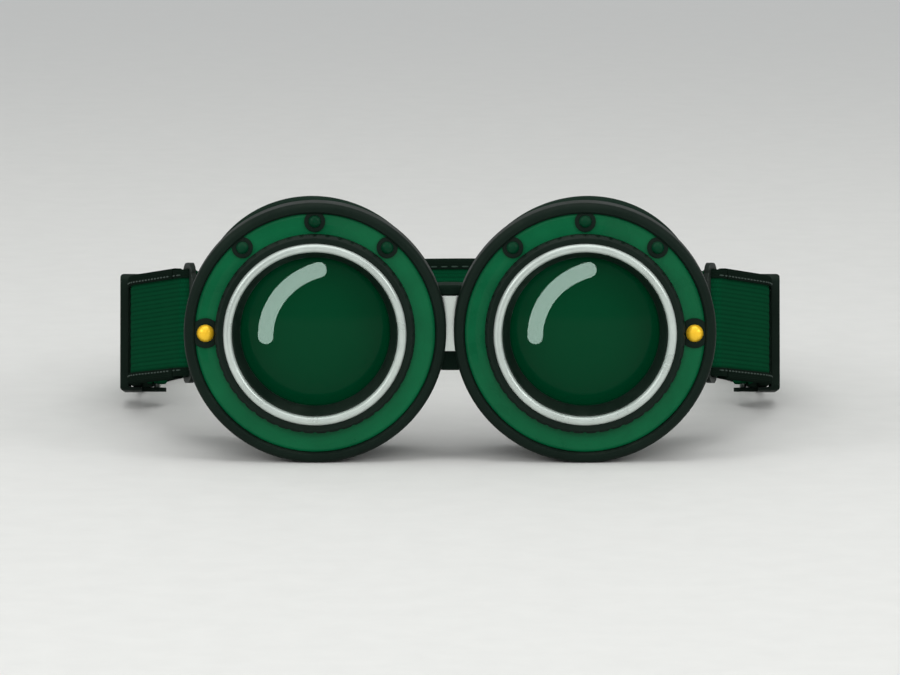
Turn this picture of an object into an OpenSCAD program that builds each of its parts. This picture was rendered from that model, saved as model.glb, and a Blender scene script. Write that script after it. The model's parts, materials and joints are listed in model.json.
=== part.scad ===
// Round brazing goggles: two lens cups on a metal nose bridge, with a hinged, adjustable head strap.
// The front faces -Y, the wearer's face is on the +Y side, and the goggles stand on z = 0.

/* [Lenses] */
// Diameter of the filter lens and of its cover
lens_d = 50; // [46:0.5:54]
// Thickness of the dark filter lens
filter_t = 3; // [2:0.5:4]
// Thickness of the clear cover lens
cover_t = 1.2; // [1:0.1:1.6]
// How far the cover lens bulges forward
cover_crown = 3.2; // [2:0.2:3.6]
// Thickness of each fibre gasket
gasket_t = 0.8; // [0.5:0.1:1.2]
// Width of the lens edge that the gaskets grip
grip_w = 3.5; // [3:0.25:4]

/* [Lens frame] */
// Width of the painted flange outside the lens ring
flange_w = 5.4; // [5:0.1:6]
// Thickness of the painted flange
flange_t = 1.8; // [1.4:0.1:2.2]
// Wall of the threaded barrel
barrel_wall = 1.1; // [0.9:0.1:1.3]
// Thickness of the shoulder behind the lenses
shoulder_t = 1.6; // [1.2:0.1:2]

/* [Lens ring] */
// Radial room for the screw thread between ring and barrel
thread_depth = 0.5; // [0.4:0.05:0.6]
// Length of the ring's skirt inside the barrel
skirt_h = 4.2; // [3.8:0.1:5]
// Height of the ring's grip above the flange
lip_h = 3.4; // [3:0.1:4]
// Number of finger grooves round the grip
grip_count = 48; // [24:2:60]
// How far the ring reaches over the glass inside the gasket
window_lip = 1.5; // [1:0.1:2]
// Radial width of the dark bevel between the glass and the bezel
bevel = 2.1; // [1.8:0.1:2.3]
// Width of the bright bezel
bezel_w = 2.3; // [2:0.1:2.4]

/* [Eyecups] */
// Gap between the rims of the two eyecups
cup_gap = 2; // [1:0.25:6]
// Radial width of the front rim outside the flange
rim_w = 2.9; // [2.6:0.1:4]
// Depth of the rim
rim_h = 8; // [7.5:0.5:10]
// How far the eyecup's body is set in from its rim
body_step = 4.2; // [3.8:0.1:4.6]
// Wall of the eyecup's body
body_wall = 2.4; // [2:0.1:2.6]
// Radius of the face that the eyecups fit
face_r = 120; // [105:5:150]
// Depth of the goggles over the nose
nose_depth = 24; // [23:0.5:28]
// Number of vent slots above and below each eyecup
vent_count = 5; // [3:1:6]

/* [Face cushions] */
// Width of the cushion
cushion_w = 8; // [7:0.5:8.5]
// Depth of the cushion
cushion_t = 7; // [5:0.5:9]

/* [Fasteners] */
// Angle between the rivets on the flange
rivet_step = 40; // [35:1:45]
// Distance from the rivets to the flange's edge
rivet_inset = 2.1; // [1.9:0.1:2.5]
// Radius of a rivet's shank
rivet_r = 1.05; // [0.9:0.05:1.2]
// Radius of the domed temple screw
stud_r = 2.35; // [2:0.05:2.4]

/* [Bridge] */
// Height of the bright bridge plate above the lens axis
bridge_top = 8.7; // [8:0.1:9.5]
// Depth of the bright bridge plate below the lens axis
bridge_drop = 6.2; // [5.5:0.1:7]
// Thickness of the bridge plate
bridge_t = 1.2; // [1:0.1:1.4]
// Length of the saddles along the eyecups
saddle_l = 10; // [8:0.5:10.5]

/* [Strap] */
// Width of the bound strap
strap_w = 30; // [26:0.5:30]
// Thickness of the elastic band
band_t = 1.8; // [1.4:0.1:2]
// Thickness of the binding tape
bind_t = 0.65; // [0.5:0.05:0.8]
// Height of the binding on the strap's edge
bind_h = 2.9; // [2:0.1:4]
// Half of the strap loop's width
strap_half_w = 88; // [86:0.5:96]
// Angle at which the strap leaves the temples
splay = 18; // [16:1:20]
// Angle at which the strap hangs from its pivots
hang = 10; // [9:0.5:10.5]
// Length of the straight run that each adjuster slides on
run_l = 38; // [36:1:40]

/* [Strap fittings] */
// Depth of the strap pivots behind the flange
pivot_w = 20; // [20:0.5:22]
// Height of the strap pivots above the lens axis
pivot_z = 0.5; // [0:0.25:1.5]
// Radius of the strap pivots
pivot_r = 1.5; // [1.2:0.1:1.8]
// Thickness of the steel brackets and lugs
plate_t = 1.4; // [1.2:0.1:1.5]
// Length of each adjuster
adjuster_l = 18; // [14:1:20]
// Radius of the adjuster's bar
bar_r = 0.9; // [0.8:0.1:1.1]

/* [Hidden] */
$fn = 96;

// Clearances
touch = 0.05;      // between parts that are seated on each other
slip = 0.1;        // between a part and the hole it is put into
running = 0.2;     // between flat faces that move past each other
strap_room = 0.3;  // round the strap in its fittings

// Lenses and lens frame, as radii and as depths behind the flange's front face
lens_r = lens_d / 2;
bore_r = lens_r + 1.1;
barrel_r = bore_r + barrel_wall;
lip_r = bore_r + 0.6;
flange_r = lip_r + flange_w;
grip_r = lens_r - grip_w;
window_r = grip_r - window_lip;
cover_w = skirt_h + gasket_t;
filter_w = cover_w + cover_t;
rear_gasket_w = filter_w + filter_t;
shoulder_w = rear_gasket_w + gasket_t;
frame_back_w = shoulder_w + shoulder_t;
dome_r = (grip_r * grip_r + cover_crown * cover_crown) / (2 * cover_crown);

// Lens ring
skirt_r = bore_r - thread_depth;
groove_d = 1;
inner_lip_w = skirt_h - 0.6;
bezel_r = window_r + bevel + bezel_w / 2;
bezel_front = lip_h + bezel_w / 2;

// Eyecup
cup_r = flange_r + rim_w;
body_r = cup_r - body_step;
body_in_r = body_r - body_wall;
rim_lip = 1.2;
rim_round = 1.6;
eye_x = cup_r + cup_gap / 2;
neck_round = 1.4;
flare = 0.8;
flare_w = nose_depth + 2;
flare_l = 6;
vent_w = 2.2;
vent_l = 6;
vent_at = (rim_h + flare_w) / 2;
vent_step = 13;
baffle_r = lens_r + 0.6;
baffle_t = 1;
baffle_back = vent_at + vent_l / 2 + 1.5;
cup_blank = nose_depth + face_r;
cushion_over = 1.4;
cushion_mid_r = body_r + flare + cushion_over - cushion_w / 2;
cushion_low = cup_r - cushion_w / 2 - cushion_mid_r;

// Fasteners on the flange
rivet_circle_r = flange_r - rivet_inset;
washer_t = 0.5;
rivet_head_r = 1.7;
rivet_head_h = 0.9;
rivet_washer_r = 2.8;
rivet_l = 6;
stud_x = lip_r + stud_r + 0.15;
stud_head_h = 1.5;
stud_shank_r = 1;
stud_washer_r = 4;

// Temple bracket and strap lug, as distances from the lens axis
arm_x = body_r - 1;
arm_h = 10;
tab_w = 5;
lug_x = arm_x + plate_t + running;
lug_mid_x = eye_x + lug_x + plate_t / 2;
pivot_head_r = 3;
pivot_head_t = 0.85;
eye_r = 5;
lug_bend = 5;
lug_rim = 1.7;
lug_bar = 3;
fold_r = plate_t / 2 + 0.3 + band_t / 2;
bar_reach = 10.5;
slot_l = fold_r + band_t / 2 + strap_room;

// Bridge
bridge_w = rim_h + 1.6;
saddle_top = bridge_top + 1.3;
saddle_drop = bridge_drop + 2.8;
pad_top = bridge_top + 2.9;
pad_low = -bridge_drop - 5.2;
pad_back_w = bridge_w + saddle_l + 1;
pad_gap = 1;
pad_web = 3;
nose_r = 8.5;
nose_lean = 35;

// Strap
band_h = strap_w - 2 * (bind_t + touch);
slot_h = band_h + 2 * strap_room;
bind_half = band_t / 2 + touch + bind_t;
bar_y = lug_bend + bar_reach * cos(splay);
bar_x = lug_mid_x + bar_reach * sin(splay);
fold_back = lug_bar / 2 - 0.4;
fold_x = bar_x - fold_back * sin(splay);
fold_y = bar_y - fold_back * cos(splay);
fold_end = 4;
turn_r = 60;
side_l = (strap_half_w - fold_x - fold_r * cos(splay) - turn_r * (1 - cos(splay))) / sin(splay);
side_end = [fold_x, fold_y] + fold_r * across(splay) + side_l * along(splay);
turn_c = side_end - turn_r * across(splay);
run_y = turn_c.y;
adjuster_y = run_y + run_l / 2;
bar_gap = 2 * fold_r;
tail_r = bar_r + 0.1 + band_t / 2;
tail_return = 8;
tail_start = fold_end + 0.1;
corner_r = 60;
corner_turn = 55;
corner_y = pivot_w + (run_y + run_l) * cos(hang);
corner_end_x = strap_half_w - corner_r * (1 - cos(corner_turn));
back_r = corner_end_x / cos(corner_turn);
back_c = corner_y + corner_r * sin(corner_turn) - back_r * sin(corner_turn);
back_w = back_c + back_r;
corner_z = pivot_z - (run_y + run_l) * sin(hang);
floor_z = strap_w / 2 - cup_r;
ease = 2 * (corner_z - floor_z) / tan(hang);

// Adjuster
adjuster_t = 2.4;
adjuster_wall = 1.1;
adjuster_in_h = strap_w / 2 + strap_room;
adjuster_out_h = adjuster_in_h + adjuster_wall;
window_l = adjuster_l - 7;
window_h = strap_w - 6;
adjuster_bar_x = bar_gap + tail_r;

// The box round everything is centred on the origin from front to back
front_y = (bezel_front - back_w - bind_half) / 2;

// Places
module at_goggles() {
    translate([0, front_y, cup_r]) children();
}

module right() {
    at_goggles() children();
}

module left() {
    at_goggles() mirror([1, 0, 0]) children();
}

// Puts a shape drawn round the Z axis on the right lens axis, with +Z turned to the back
module on_lens_axis() {
    translate([eye_x, 0, 0]) rotate([-90, 0, 0]) children();
}

// Turns about the right strap pivot by the angle at which the strap hangs
module hanging() {
    translate([0, pivot_w, pivot_z]) rotate([-hang, 0, 0]) children();
}

// A ring round the lens axis, from depth w0 to depth w1
module washer(r_out, r_in, w0, w1) {
    on_lens_axis() translate([0, 0, w0]) difference() {
        cylinder(r = r_out, h = w1 - w0);
        translate([0, 0, -1]) cylinder(r = r_in, h = w1 - w0 + 2);
    }
}

// A pin parallel to the lens axis at angle a on a circle of radius r
module axial_pin(r, a, pin_r, w0, w1) {
    translate([eye_x + r * cos(a), w0, r * sin(a)]) rotate([-90, 0, 0]) cylinder(r = pin_r, h = w1 - w0);
}

// A domed head of radius r and height h, flat side at z = 0
module dome(r, h) {
    ball_r = (r * r + h * h) / (2 * h);
    intersection() {
        translate([0, 0, h - ball_r]) sphere(r = ball_r);
        cylinder(r = r, h = h);
    }
}

rivet_angles = [for (i = [-1:1]) 90 + i * rivet_step];

// Points on a round stretch of an outline
function arc(c, r, a0, a1, n) = [for (i = [0:n]) let (a = a0 + (a1 - a0) * i / n) c + r * [cos(a), sin(a)]];

// The upright cylinder that stands for the face, which cuts the rear edge of the eyecups
module face() {
    translate([0, nose_depth + face_r, -cup_r - 5]) cylinder(r = face_r, h = 2 * cup_r + 10, $fn = 360);
}

function face_w(x) = nose_depth + face_r - sqrt(face_r * face_r - x * x);

// Eyecup: one black moulding, with a rounded rim, a tube and a rear edge that follows the face
module eyecup_profile() {
    rim_mid = cup_r - rim_round;
    hole_r = barrel_r + slip;
    seat_r = flange_r + slip;
    lead_in = 0.5;
    polygon(concat(
        [[hole_r, flange_t], [seat_r, flange_t], [seat_r, lead_in - rim_lip], [seat_r + lead_in, -rim_lip]],
        arc([rim_mid, rim_round - rim_lip], rim_round, -90, 0, 6),
        arc([rim_mid, rim_h - rim_round], rim_round, 0, 90, 6),
        arc([body_r + neck_round, rim_h + neck_round], neck_round, 270, 180, 5),
        [[body_r, flare_w], [body_r + flare, flare_w + flare_l], [body_r + flare, cup_blank]],
        [[body_in_r + flare, cup_blank], [body_in_r + flare, flare_w + flare_l], [body_in_r, flare_w]],
        [[body_in_r, rim_h + body_in_r - hole_r], [hole_r, rim_h]]
    ));
}

// A slot with round ends through the body's wall, at angle a round the lens axis
module vent(a) {
    between = vent_l - vent_w;
    rotate([0, 0, a]) translate([body_in_r - 2, 0, vent_at]) rotate([0, 90, 0]) {
        translate([-between / 2, -vent_w / 2, 0]) cube([between, vent_w, body_wall + 4]);
        for (s = [-1, 1])
            translate([s * between / 2, 0, 0]) cylinder(r = vent_w / 2, h = body_wall + 4, $fn = 32);
    }
}

module eyecup() {
    color([0.08, 0.125, 0.1]) difference() {
        on_lens_axis() rotate_extrude() eyecup_profile();
        face();
        on_lens_axis() for (up = [90, -90], i = [0:vent_count - 1])
            vent(up + (i - (vent_count - 1) / 2) * vent_step);
        for (a = rivet_angles) axial_pin(rivet_circle_r, a, rivet_r + touch, 0, rivet_l + 0.2);
        axial_pin(stud_x, 0, stud_shank_r + touch, 0, tab_w + plate_t / 2);
        bracket_plate(touch);
        translate([eye_x + arm_x - running, rim_h, pivot_z - arm_h / 2 - running])
            cube([body_wall + flare, cup_blank, arm_h + 2 * running]);
        for (a = bridge_rivet_angles) bridge_pin(a, rivet_r + touch, body_in_r - 2, body_r + 2);
    }
}

// Lens frame: painted steel flange and threaded barrel in one turned piece
module lens_frame() {
    edge = 0.4;
    color([0.024, 0.353, 0.212]) difference() {
        on_lens_axis() rotate_extrude() polygon([
            [bore_r + 0.3, 0], [flange_r - edge, 0], [flange_r, edge], [flange_r, flange_t],
            [barrel_r, flange_t], [barrel_r, frame_back_w], [grip_r, frame_back_w],
            [grip_r, shoulder_w], [bore_r, shoulder_w], [bore_r, 0.3]
        ]);
        for (a = rivet_angles) axial_pin(rivet_circle_r, a, rivet_r + touch, -1, flange_t + 1);
        axial_pin(stud_x, 0, stud_shank_r + touch, -1, flange_t + 1);
    }
}

// Light baffle: a ring inside the vents that lets air past and stops light
module light_baffle() {
    color([0.1, 0.11, 0.11]) on_lens_axis() rotate_extrude() polygon([
        [baffle_r - baffle_t, frame_back_w + slip], [body_in_r - slip, frame_back_w + slip],
        [body_in_r - slip, frame_back_w + slip + 1], [baffle_r + 0.4, frame_back_w + slip + 1],
        [baffle_r, frame_back_w + slip + 1.4], [baffle_r, baffle_back], [baffle_r - baffle_t, baffle_back]
    ]);
}

// Face cushion: a soft ring with a crowned back, drawn in where it meets the eyecup
cushion_half = [
    [0.78, 0], [0.92, 0.1], [1, 0.3], [0.97, 0.5], [0.86, 0.72], [0.66, 0.88], [0.36, 0.97], [0, 1]
];
cushion_outline = concat(cushion_half, [for (i = [6:-1:0]) [-cushion_half[i].x, cushion_half[i].y]]);
cushion_section = [for (p = cushion_outline) [p.x * cushion_w / 2, p.y * cushion_t]];

module face_cushion() {
    steps = 64;
    points = [for (i = [0:steps - 1], p = cushion_section)
        let (a = 360 * i / steps, x = eye_x + (cushion_mid_r + p.x) * cos(a))
        [x, face_w(x) + touch + p.y, (cushion_mid_r + cushion_low / 2 + p.x) * sin(a) - cushion_low / 2]];
    color([0.09, 0.1, 0.1]) polyhedron(points, loop_faces(steps, len(cushion_section)));
}

// Faces of a closed loop of sections, and of a tube of sections with flat ends
function loop_faces(rings, n) = [for (i = [0:rings - 1], j = [0:n - 1], k = [0, 1])
    let (a = i * n, b = ((i + 1) % rings) * n, j1 = (j + 1) % n)
    k == 0 ? [a + j, a + j1, b + j] : [a + j1, b + j1, b + j]];

function tube_faces(rings, n) = concat(
    [for (i = [0:rings - 2], j = [0:n - 1], k = [0, 1])
        let (a = i * n, b = (i + 1) * n, j1 = (j + 1) % n)
        k == 0 ? [a + j, a + j1, b + j] : [a + j1, b + j1, b + j]],
    [[for (j = [n - 1:-1:0]) j]],
    [[for (j = [0:n - 1]) (rings - 1) * n + j]]
);

// Fasteners on the flange
module frame_rivets() {
    color([0.016, 0.22, 0.133]) for (a = rivet_angles) {
        axial_pin(rivet_circle_r, a, rivet_r, -washer_t - touch, rivet_l);
        translate([eye_x + rivet_circle_r * cos(a), -washer_t, rivet_circle_r * sin(a)])
            rotate([90, 0, 0]) dome(rivet_head_r, rivet_head_h);
    }
}

// A washer on the flange, trimmed so that it clears the lens ring and the rim
module trimmed_washer(r, a, out_r, hole_r) {
    difference() {
        intersection() {
            axial_pin(r, a, out_r, -washer_t, 0);
            washer(flange_r, lip_r + slip, -washer_t - 1, 1);
        }
        axial_pin(r, a, hole_r + touch, -washer_t - 1, 1);
    }
}

module rivet_washers() {
    color([0.08, 0.125, 0.1]) for (a = rivet_angles)
        trimmed_washer(rivet_circle_r, a, rivet_washer_r, rivet_r);
}

module screw_washer() {
    color([0.08, 0.125, 0.1]) trimmed_washer(stud_x, 0, stud_washer_r, stud_shank_r);
}

module temple_screw() {
    color([0.96, 0.76, 0.18]) {
        axial_pin(stud_x, 0, stud_shank_r, -washer_t - touch, tab_w + plate_t);
        translate([eye_x + stud_x, -washer_t, 0]) rotate([90, 0, 0]) dome(stud_r, stud_head_h);
    }
}

// Temple bracket: a steel angle moulded into the rim, whose arm carries the strap pivot
module bracket_plate(gap) {
    tab_x = barrel_r + 0.3;
    translate([eye_x + tab_x - gap, tab_w - gap, pivot_z - arm_h / 2 - gap])
        cube([arm_x + plate_t - tab_x + 2 * gap, plate_t + 2 * gap, arm_h + 2 * gap]);
    translate([eye_x + arm_x - gap, tab_w - gap, pivot_z - arm_h / 2 - gap])
        cube([plate_t + 2 * gap, pivot_w - tab_w + gap, arm_h + 2 * gap]);
}

module temple_bracket() {
    color([0.2, 0.22, 0.22]) difference() {
        union() {
            bracket_plate(0);
            translate([eye_x + arm_x, pivot_w, pivot_z]) rotate([0, 90, 0])
                cylinder(r = arm_h / 2, h = plate_t);
        }
        translate([eye_x + arm_x - 1, pivot_w, pivot_z]) rotate([0, 90, 0])
            cylinder(r = pivot_r, h = plate_t + 2);
        axial_pin(stud_x, 0, stud_shank_r, tab_w - 1, tab_w + plate_t + 1);
    }
}

module pivot_rivet() {
    color([0.55, 0.57, 0.56]) translate([eye_x + arm_x, pivot_w, pivot_z]) rotate([0, 90, 0]) {
        cylinder(r = pivot_r, h = 2 * plate_t + running + 0.15);
        translate([0, 0, 2 * plate_t + running + 0.15]) dome(pivot_head_r, pivot_head_t);
    }
}

// Bridge: a bright plate between two saddles that hug the eyecups
bridge_rivet_angles = [180 - 13, 180 + 13];

module bridge_pin(a, r, from, to) {
    translate([eye_x, bridge_w + 0.6 * saddle_l, 0]) rotate([0, -a, 0]) translate([from, 0, 0])
        rotate([0, 90, 0]) cylinder(r = r, h = to - from, $fn = 48);
}

module bridge_half() {
    outer = body_r + slip + bridge_t;
    intersection() {
        washer(outer, body_r + slip, bridge_w, bridge_w + saddle_l);
        translate([0, bridge_w, -saddle_drop]) cube([eye_x, saddle_l, saddle_top + saddle_drop]);
    }
    difference() {
        translate([0, bridge_w, -bridge_drop]) cube([eye_x, bridge_t, bridge_top + bridge_drop]);
        washer(body_r + slip, 0, bridge_w - 1, bridge_w + saddle_l);
    }
}

module bridge_plate() {
    color([0.7, 0.74, 0.714]) difference() {
        for (m = [0, 1]) mirror([m, 0, 0]) bridge_half();
        for (m = [0, 1], a = bridge_rivet_angles) mirror([m, 0, 0])
            bridge_pin(a, rivet_r + touch, body_r - 1, body_r + bridge_t + 2);
    }
}

module bridge_rivets() {
    seat = body_r + slip + bridge_t + touch;
    color([0.55, 0.57, 0.56]) for (m = [0, 1], a = bridge_rivet_angles) mirror([m, 0, 0]) {
        bridge_pin(a, rivet_r, body_in_r - 0.6, seat + touch);
        bridge_pin(a, rivet_head_r, seat, seat + 0.7);
        bridge_pin(a, rivet_head_r, body_in_r - 0.7, body_in_r - touch);
    }
}

// Nose pad: a rubber saddle behind the bridge plate, with lips above and below the plate's edges
module pad_side() {
    edge = 1.2;
    crown = 4;
    foot = 2;
    difference() {
        polygon(concat(
            arc([bridge_w + edge, pad_low + edge], edge, 180, 270, 4),
            arc([pad_back_w - foot, pad_low + foot], foot, 270, 360, 5),
            arc([pad_back_w - crown, pad_top - crown], crown, 0, 90, 8),
            arc([bridge_w + edge, pad_top - edge], edge, 90, 180, 4)
        ));
        translate([bridge_w - 1, -bridge_drop - touch])
            square([1 + bridge_t + touch, bridge_top + bridge_drop + 2 * touch]);
    }
}

// The pad from above: it spreads between the eyecups and is rounded at its rear corners
module pad_plan() {
    half = eye_x - sqrt(pow(body_r, 2) - pow(pad_top, 2));
    corner = 3;
    polygon(concat(
        [[-half, bridge_w - 1], [half, bridge_w - 1]],
        arc([half - corner, pad_back_w - corner], corner, 0, 90, 6),
        arc([corner - half, pad_back_w - corner], corner, 90, 180, 6)
    ));
}

module nose_pad() {
    tunnel_l = 4 * pad_back_w;
    color([0.08, 0.125, 0.1]) difference() {
        intersection() {
            rotate([90, 0, 90]) linear_extrude(2 * eye_x, center = true) pad_side();
            linear_extrude(4 * pad_top, center = true) pad_plan();
        }
        for (m = [0, 1]) mirror([m, 0, 0])
            washer(body_r + slip + bridge_t + pad_gap, 0, bridge_w - 1, pad_back_w + 1);
        translate([0, bridge_w + bridge_t + pad_web, pad_low]) rotate([-nose_lean, 0, 0])
            translate([0, nose_r, 0]) cylinder(r = nose_r, h = tunnel_l, center = true);
    }
}

// Lens pack
module cover_lens() {
    ball_w = cover_w - cover_crown + dome_r;
    color([0.75, 0.82, 0.78, 0.4]) on_lens_axis() difference() {
        union() {
            translate([0, 0, cover_w]) cylinder(r = lens_r, h = cover_t);
            intersection() {
                translate([0, 0, ball_w]) sphere(r = dome_r, $fn = 180);
                cylinder(r = grip_r, h = filter_w);
            }
        }
        intersection() {
            translate([0, 0, ball_w]) sphere(r = dome_r - cover_t, $fn = 180);
            cylinder(r = grip_r - cover_t, h = filter_w + 1);
        }
    }
}

module filter_lens() {
    color([0.02, 0.23, 0.137, 0.85]) washer_disc(lens_r, filter_w + touch, rear_gasket_w);
}

module washer_disc(r, w0, w1) {
    on_lens_axis() translate([0, 0, w0]) cylinder(r = r, h = w1 - w0);
}

module front_gasket() {
    color([0.35, 0.33, 0.3]) washer(lens_r, grip_r + 0.2, skirt_h + touch, cover_w);
}

module rear_gasket() {
    color([0.35, 0.33, 0.3]) washer(lens_r, grip_r, rear_gasket_w + touch, shoulder_w);
}

// Lens ring: screws into the barrel and presses the lenses against the shoulder
module lens_ring() {
    out = window_r + bevel + bezel_w;
    groove_r = 0.7;
    color([0.085, 0.11, 0.1]) on_lens_axis() difference() {
        rotate_extrude() polygon([
            [window_r, inner_lip_w - 1.2], [window_r + bevel, -lip_h],
            [window_r + bevel, groove_d - lip_h], [out, groove_d - lip_h], [out, -lip_h],
            [lip_r - 0.8, -lip_h], [lip_r, 0.8 - lip_h], [lip_r, -touch], [skirt_r, -touch], [skirt_r, skirt_h],
            [grip_r - 0.3, skirt_h], [grip_r - 0.3, inner_lip_w], [window_r, inner_lip_w]
        ]);
        for (i = [0:grip_count - 1]) rotate([0, 0, 360 * i / grip_count])
            translate([lip_r + 0.35, 0, -lip_h - 1]) cylinder(r = groove_r, h = lip_h + 0.6, $fn = 24);
    }
}

// Bezel: a bright half-round ring pressed into the lens ring's front
module bezel() {
    color([0.7, 0.74, 0.714]) on_lens_axis() rotate_extrude() polygon(concat(
        [[bezel_r + bezel_w / 2, groove_d - lip_h], [bezel_r - bezel_w / 2, groove_d - lip_h]],
        arc([bezel_r, -lip_h], bezel_w / 2, 180, 360, 12)
    ));
}

// Strap lug: a bent steel plate with an eye on the pivot and a slot for the strap
module lug_plate_2d() {
    half = slot_h / 2 + lug_rim;
    corner = 3;
    back = bar_reach + lug_bar / 2;
    slot_x = back - lug_bar - slot_l;
    front = slot_x - lug_rim;
    difference() {
        union() {
            polygon([[-0.2, -eye_r], [front, -half + corner], [front, half - corner], [-0.2, eye_r]]);
            translate([front, -half + corner]) square([back - front, 2 * (half - corner)]);
            translate([front + corner, -half]) square([back - front - 2 * corner, 2 * half]);
            for (s = [-1, 1], x = [front + corner, back - corner])
                translate([x, s * (half - corner)]) circle(r = corner, $fn = 48);
        }
        translate([slot_x, -slot_h / 2]) square([slot_l, slot_h]);
    }
}

module strap_lug() {
    color([0.2, 0.22, 0.22]) hanging() difference() {
        union() {
            translate([lug_mid_x - plate_t / 2, 0, 0]) rotate([0, 90, 0]) cylinder(r = eye_r, h = plate_t);
            translate([lug_mid_x - plate_t / 2, 0, -eye_r]) cube([plate_t, lug_bend, 2 * eye_r]);
            translate([lug_mid_x, lug_bend, 0]) rotate([0, 0, 90 - splay]) rotate([90, 0, 0])
                translate([0, 0, -plate_t / 2]) linear_extrude(plate_t) lug_plate_2d();
        }
        translate([lug_mid_x - plate_t, 0, 0]) rotate([0, 90, 0])
            cylinder(r = pivot_r + touch, h = 2 * plate_t);
    }
}

// Strap route. A heading is an angle from +Y towards +X, and a station is [point, across, up].
function along(h) = [sin(h), cos(h)];
function across(h) = [cos(h), -sin(h)];

// A station of the hanging front part, from its place in the hanging plane
function hung(p, h) = [
    [p.x, pivot_w + p.y * cos(hang), pivot_z - p.y * sin(hang)],
    [cos(h), -sin(h) * cos(hang), sin(h) * sin(hang)],
    [0, sin(hang), cos(hang)]
];

// A station of the rear part, which eases down to the floor behind corner_y
function settled_z(d) = d < ease ? corner_z - tan(hang) * (d - d * d / (2 * ease)) : floor_z;
function settled_hang(d) = d < ease ? atan(tan(hang) * (1 - d / ease)) : 0;
function settled(p, h) = let (d = p.y - corner_y, b = settled_hang(d)) [
    [p.x, p.y, settled_z(d)],
    [cos(h), -sin(h) * cos(b), sin(h) * sin(b)],
    [0, sin(b), cos(b)]
];

function fold_stations() = concat(
    [hung([fold_x, fold_y] - fold_r * across(splay) + fold_end * along(splay), splay + 180)],
    [for (i = [0:8]) let (t = 22.5 * i)
        hung([fold_x, fold_y] - fold_r * (cos(t) * across(splay) + sin(t) * along(splay)), splay + 180 - t)]
);

function side_stations(from) = concat(
    [for (t = [from, from + (side_l - from) / 3, side_l - (side_l - from) / 3])
        hung([fold_x, fold_y] + fold_r * across(splay) + t * along(splay), splay)],
    [for (i = [0:4]) let (h = splay * (1 - i / 4)) hung(turn_c + turn_r * across(h), h)],
    [hung([strap_half_w, run_y + run_l], 0)]
);

function rear_stations() = concat(
    [for (i = [1:12]) let (h = -corner_turn * i / 12)
        settled([strap_half_w - corner_r, corner_y] + corner_r * across(h), h)],
    [for (i = [1:8]) let (h = -corner_turn - (90 - corner_turn) * i / 8)
        settled([0, back_c] + back_r * across(h), h)]
);

function mirrored(s) = [for (v = s) [-v.x, v.y, v.z]];
function whole_loop(half) = concat(half, [for (i = [len(half) - 2:-1:0]) mirrored(half[i])]);

function swept(stations, section) = [for (s = stations, p = section) s[0] + p.x * s[1] + p.y * s[2]];

module sweep(stations, section) {
    polyhedron(swept(stations, section), tube_faces(len(stations), len(section)));
}

function band_section(h) = let (t = band_t / 2) [[-t, -h / 2], [t, -h / 2], [t, h / 2], [-t, h / 2]];

module strap_band() {
    half = concat(fold_stations(), side_stations(side_l / 6), rear_stations());
    color([0.02, 0.23, 0.137]) at_goggles() sweep(whole_loop(half), band_section(band_h));
}

// Binding: a tape folded over the band's edge; dir is 1 on the upper edge and -1 on the lower
function binding_section(dir) = let (
    o = bind_half, i = band_t / 2 + touch, top = strap_w / 2, low = top - bind_h, lid = band_h / 2 + touch,
    c = 0.3,
    inner = [[-o, low], [-i, low], [-i, lid], [i, lid], [i, low], [o, low]],
    whole = concat(inner, [[o, top - c], [o - c, top], [c - o, top], [-o, top - c]])
) dir > 0 ? whole : [for (k = [len(whole) - 1:-1:0]) [whole[k].x, -whole[k].y]];

module strap_binding(dir) {
    color([0.08, 0.125, 0.1]) at_goggles()
        sweep(whole_loop(concat(side_stations(lug_bar + 1), rear_stations())), binding_section(dir));
}

// Tail: the end of the band, doubled back from the lug and sewn round the adjuster's bar
module strap_tail() {
    bar_c = [strap_half_w - adjuster_bar_x, adjuster_y];
    stations = concat(
        [for (t = [tail_start, side_l / 2, side_l])
            hung([fold_x, fold_y] - fold_r * across(splay) + t * along(splay), splay)],
        [for (i = [1:4]) let (h = splay * (1 - i / 4)) hung(turn_c + (turn_r - bar_gap) * across(h), h)],
        [for (i = [0:8]) let (t = 22.5 * i)
            hung(bar_c + tail_r * (cos(t) * across(0) + sin(t) * along(0)), -t)],
        [hung(bar_c - tail_r * across(0) - along(0), -180),
         hung(bar_c + (tail_r - band_t - touch) * across(0) - tail_return * along(0), -180)]
    );
    color([0.02, 0.2, 0.12]) sweep(stations, band_section(band_h));
}

// Adjuster: a moulded slide on the strap whose steel bar holds the sewn tail
module at_adjuster() {
    hanging() translate([strap_half_w, adjuster_y, 0]) children();
}

// A rectangle with round corners, centred on the origin
module rounded_rect(w, h, r) {
    polygon(concat(
        arc([w / 2 - r, h / 2 - r], r, 0, 90, 6), arc([r - w / 2, h / 2 - r], r, 90, 180, 6),
        arc([r - w / 2, r - h / 2], r, 180, 270, 6), arc([w / 2 - r, r - h / 2], r, 270, 360, 6)
    ));
}

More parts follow.
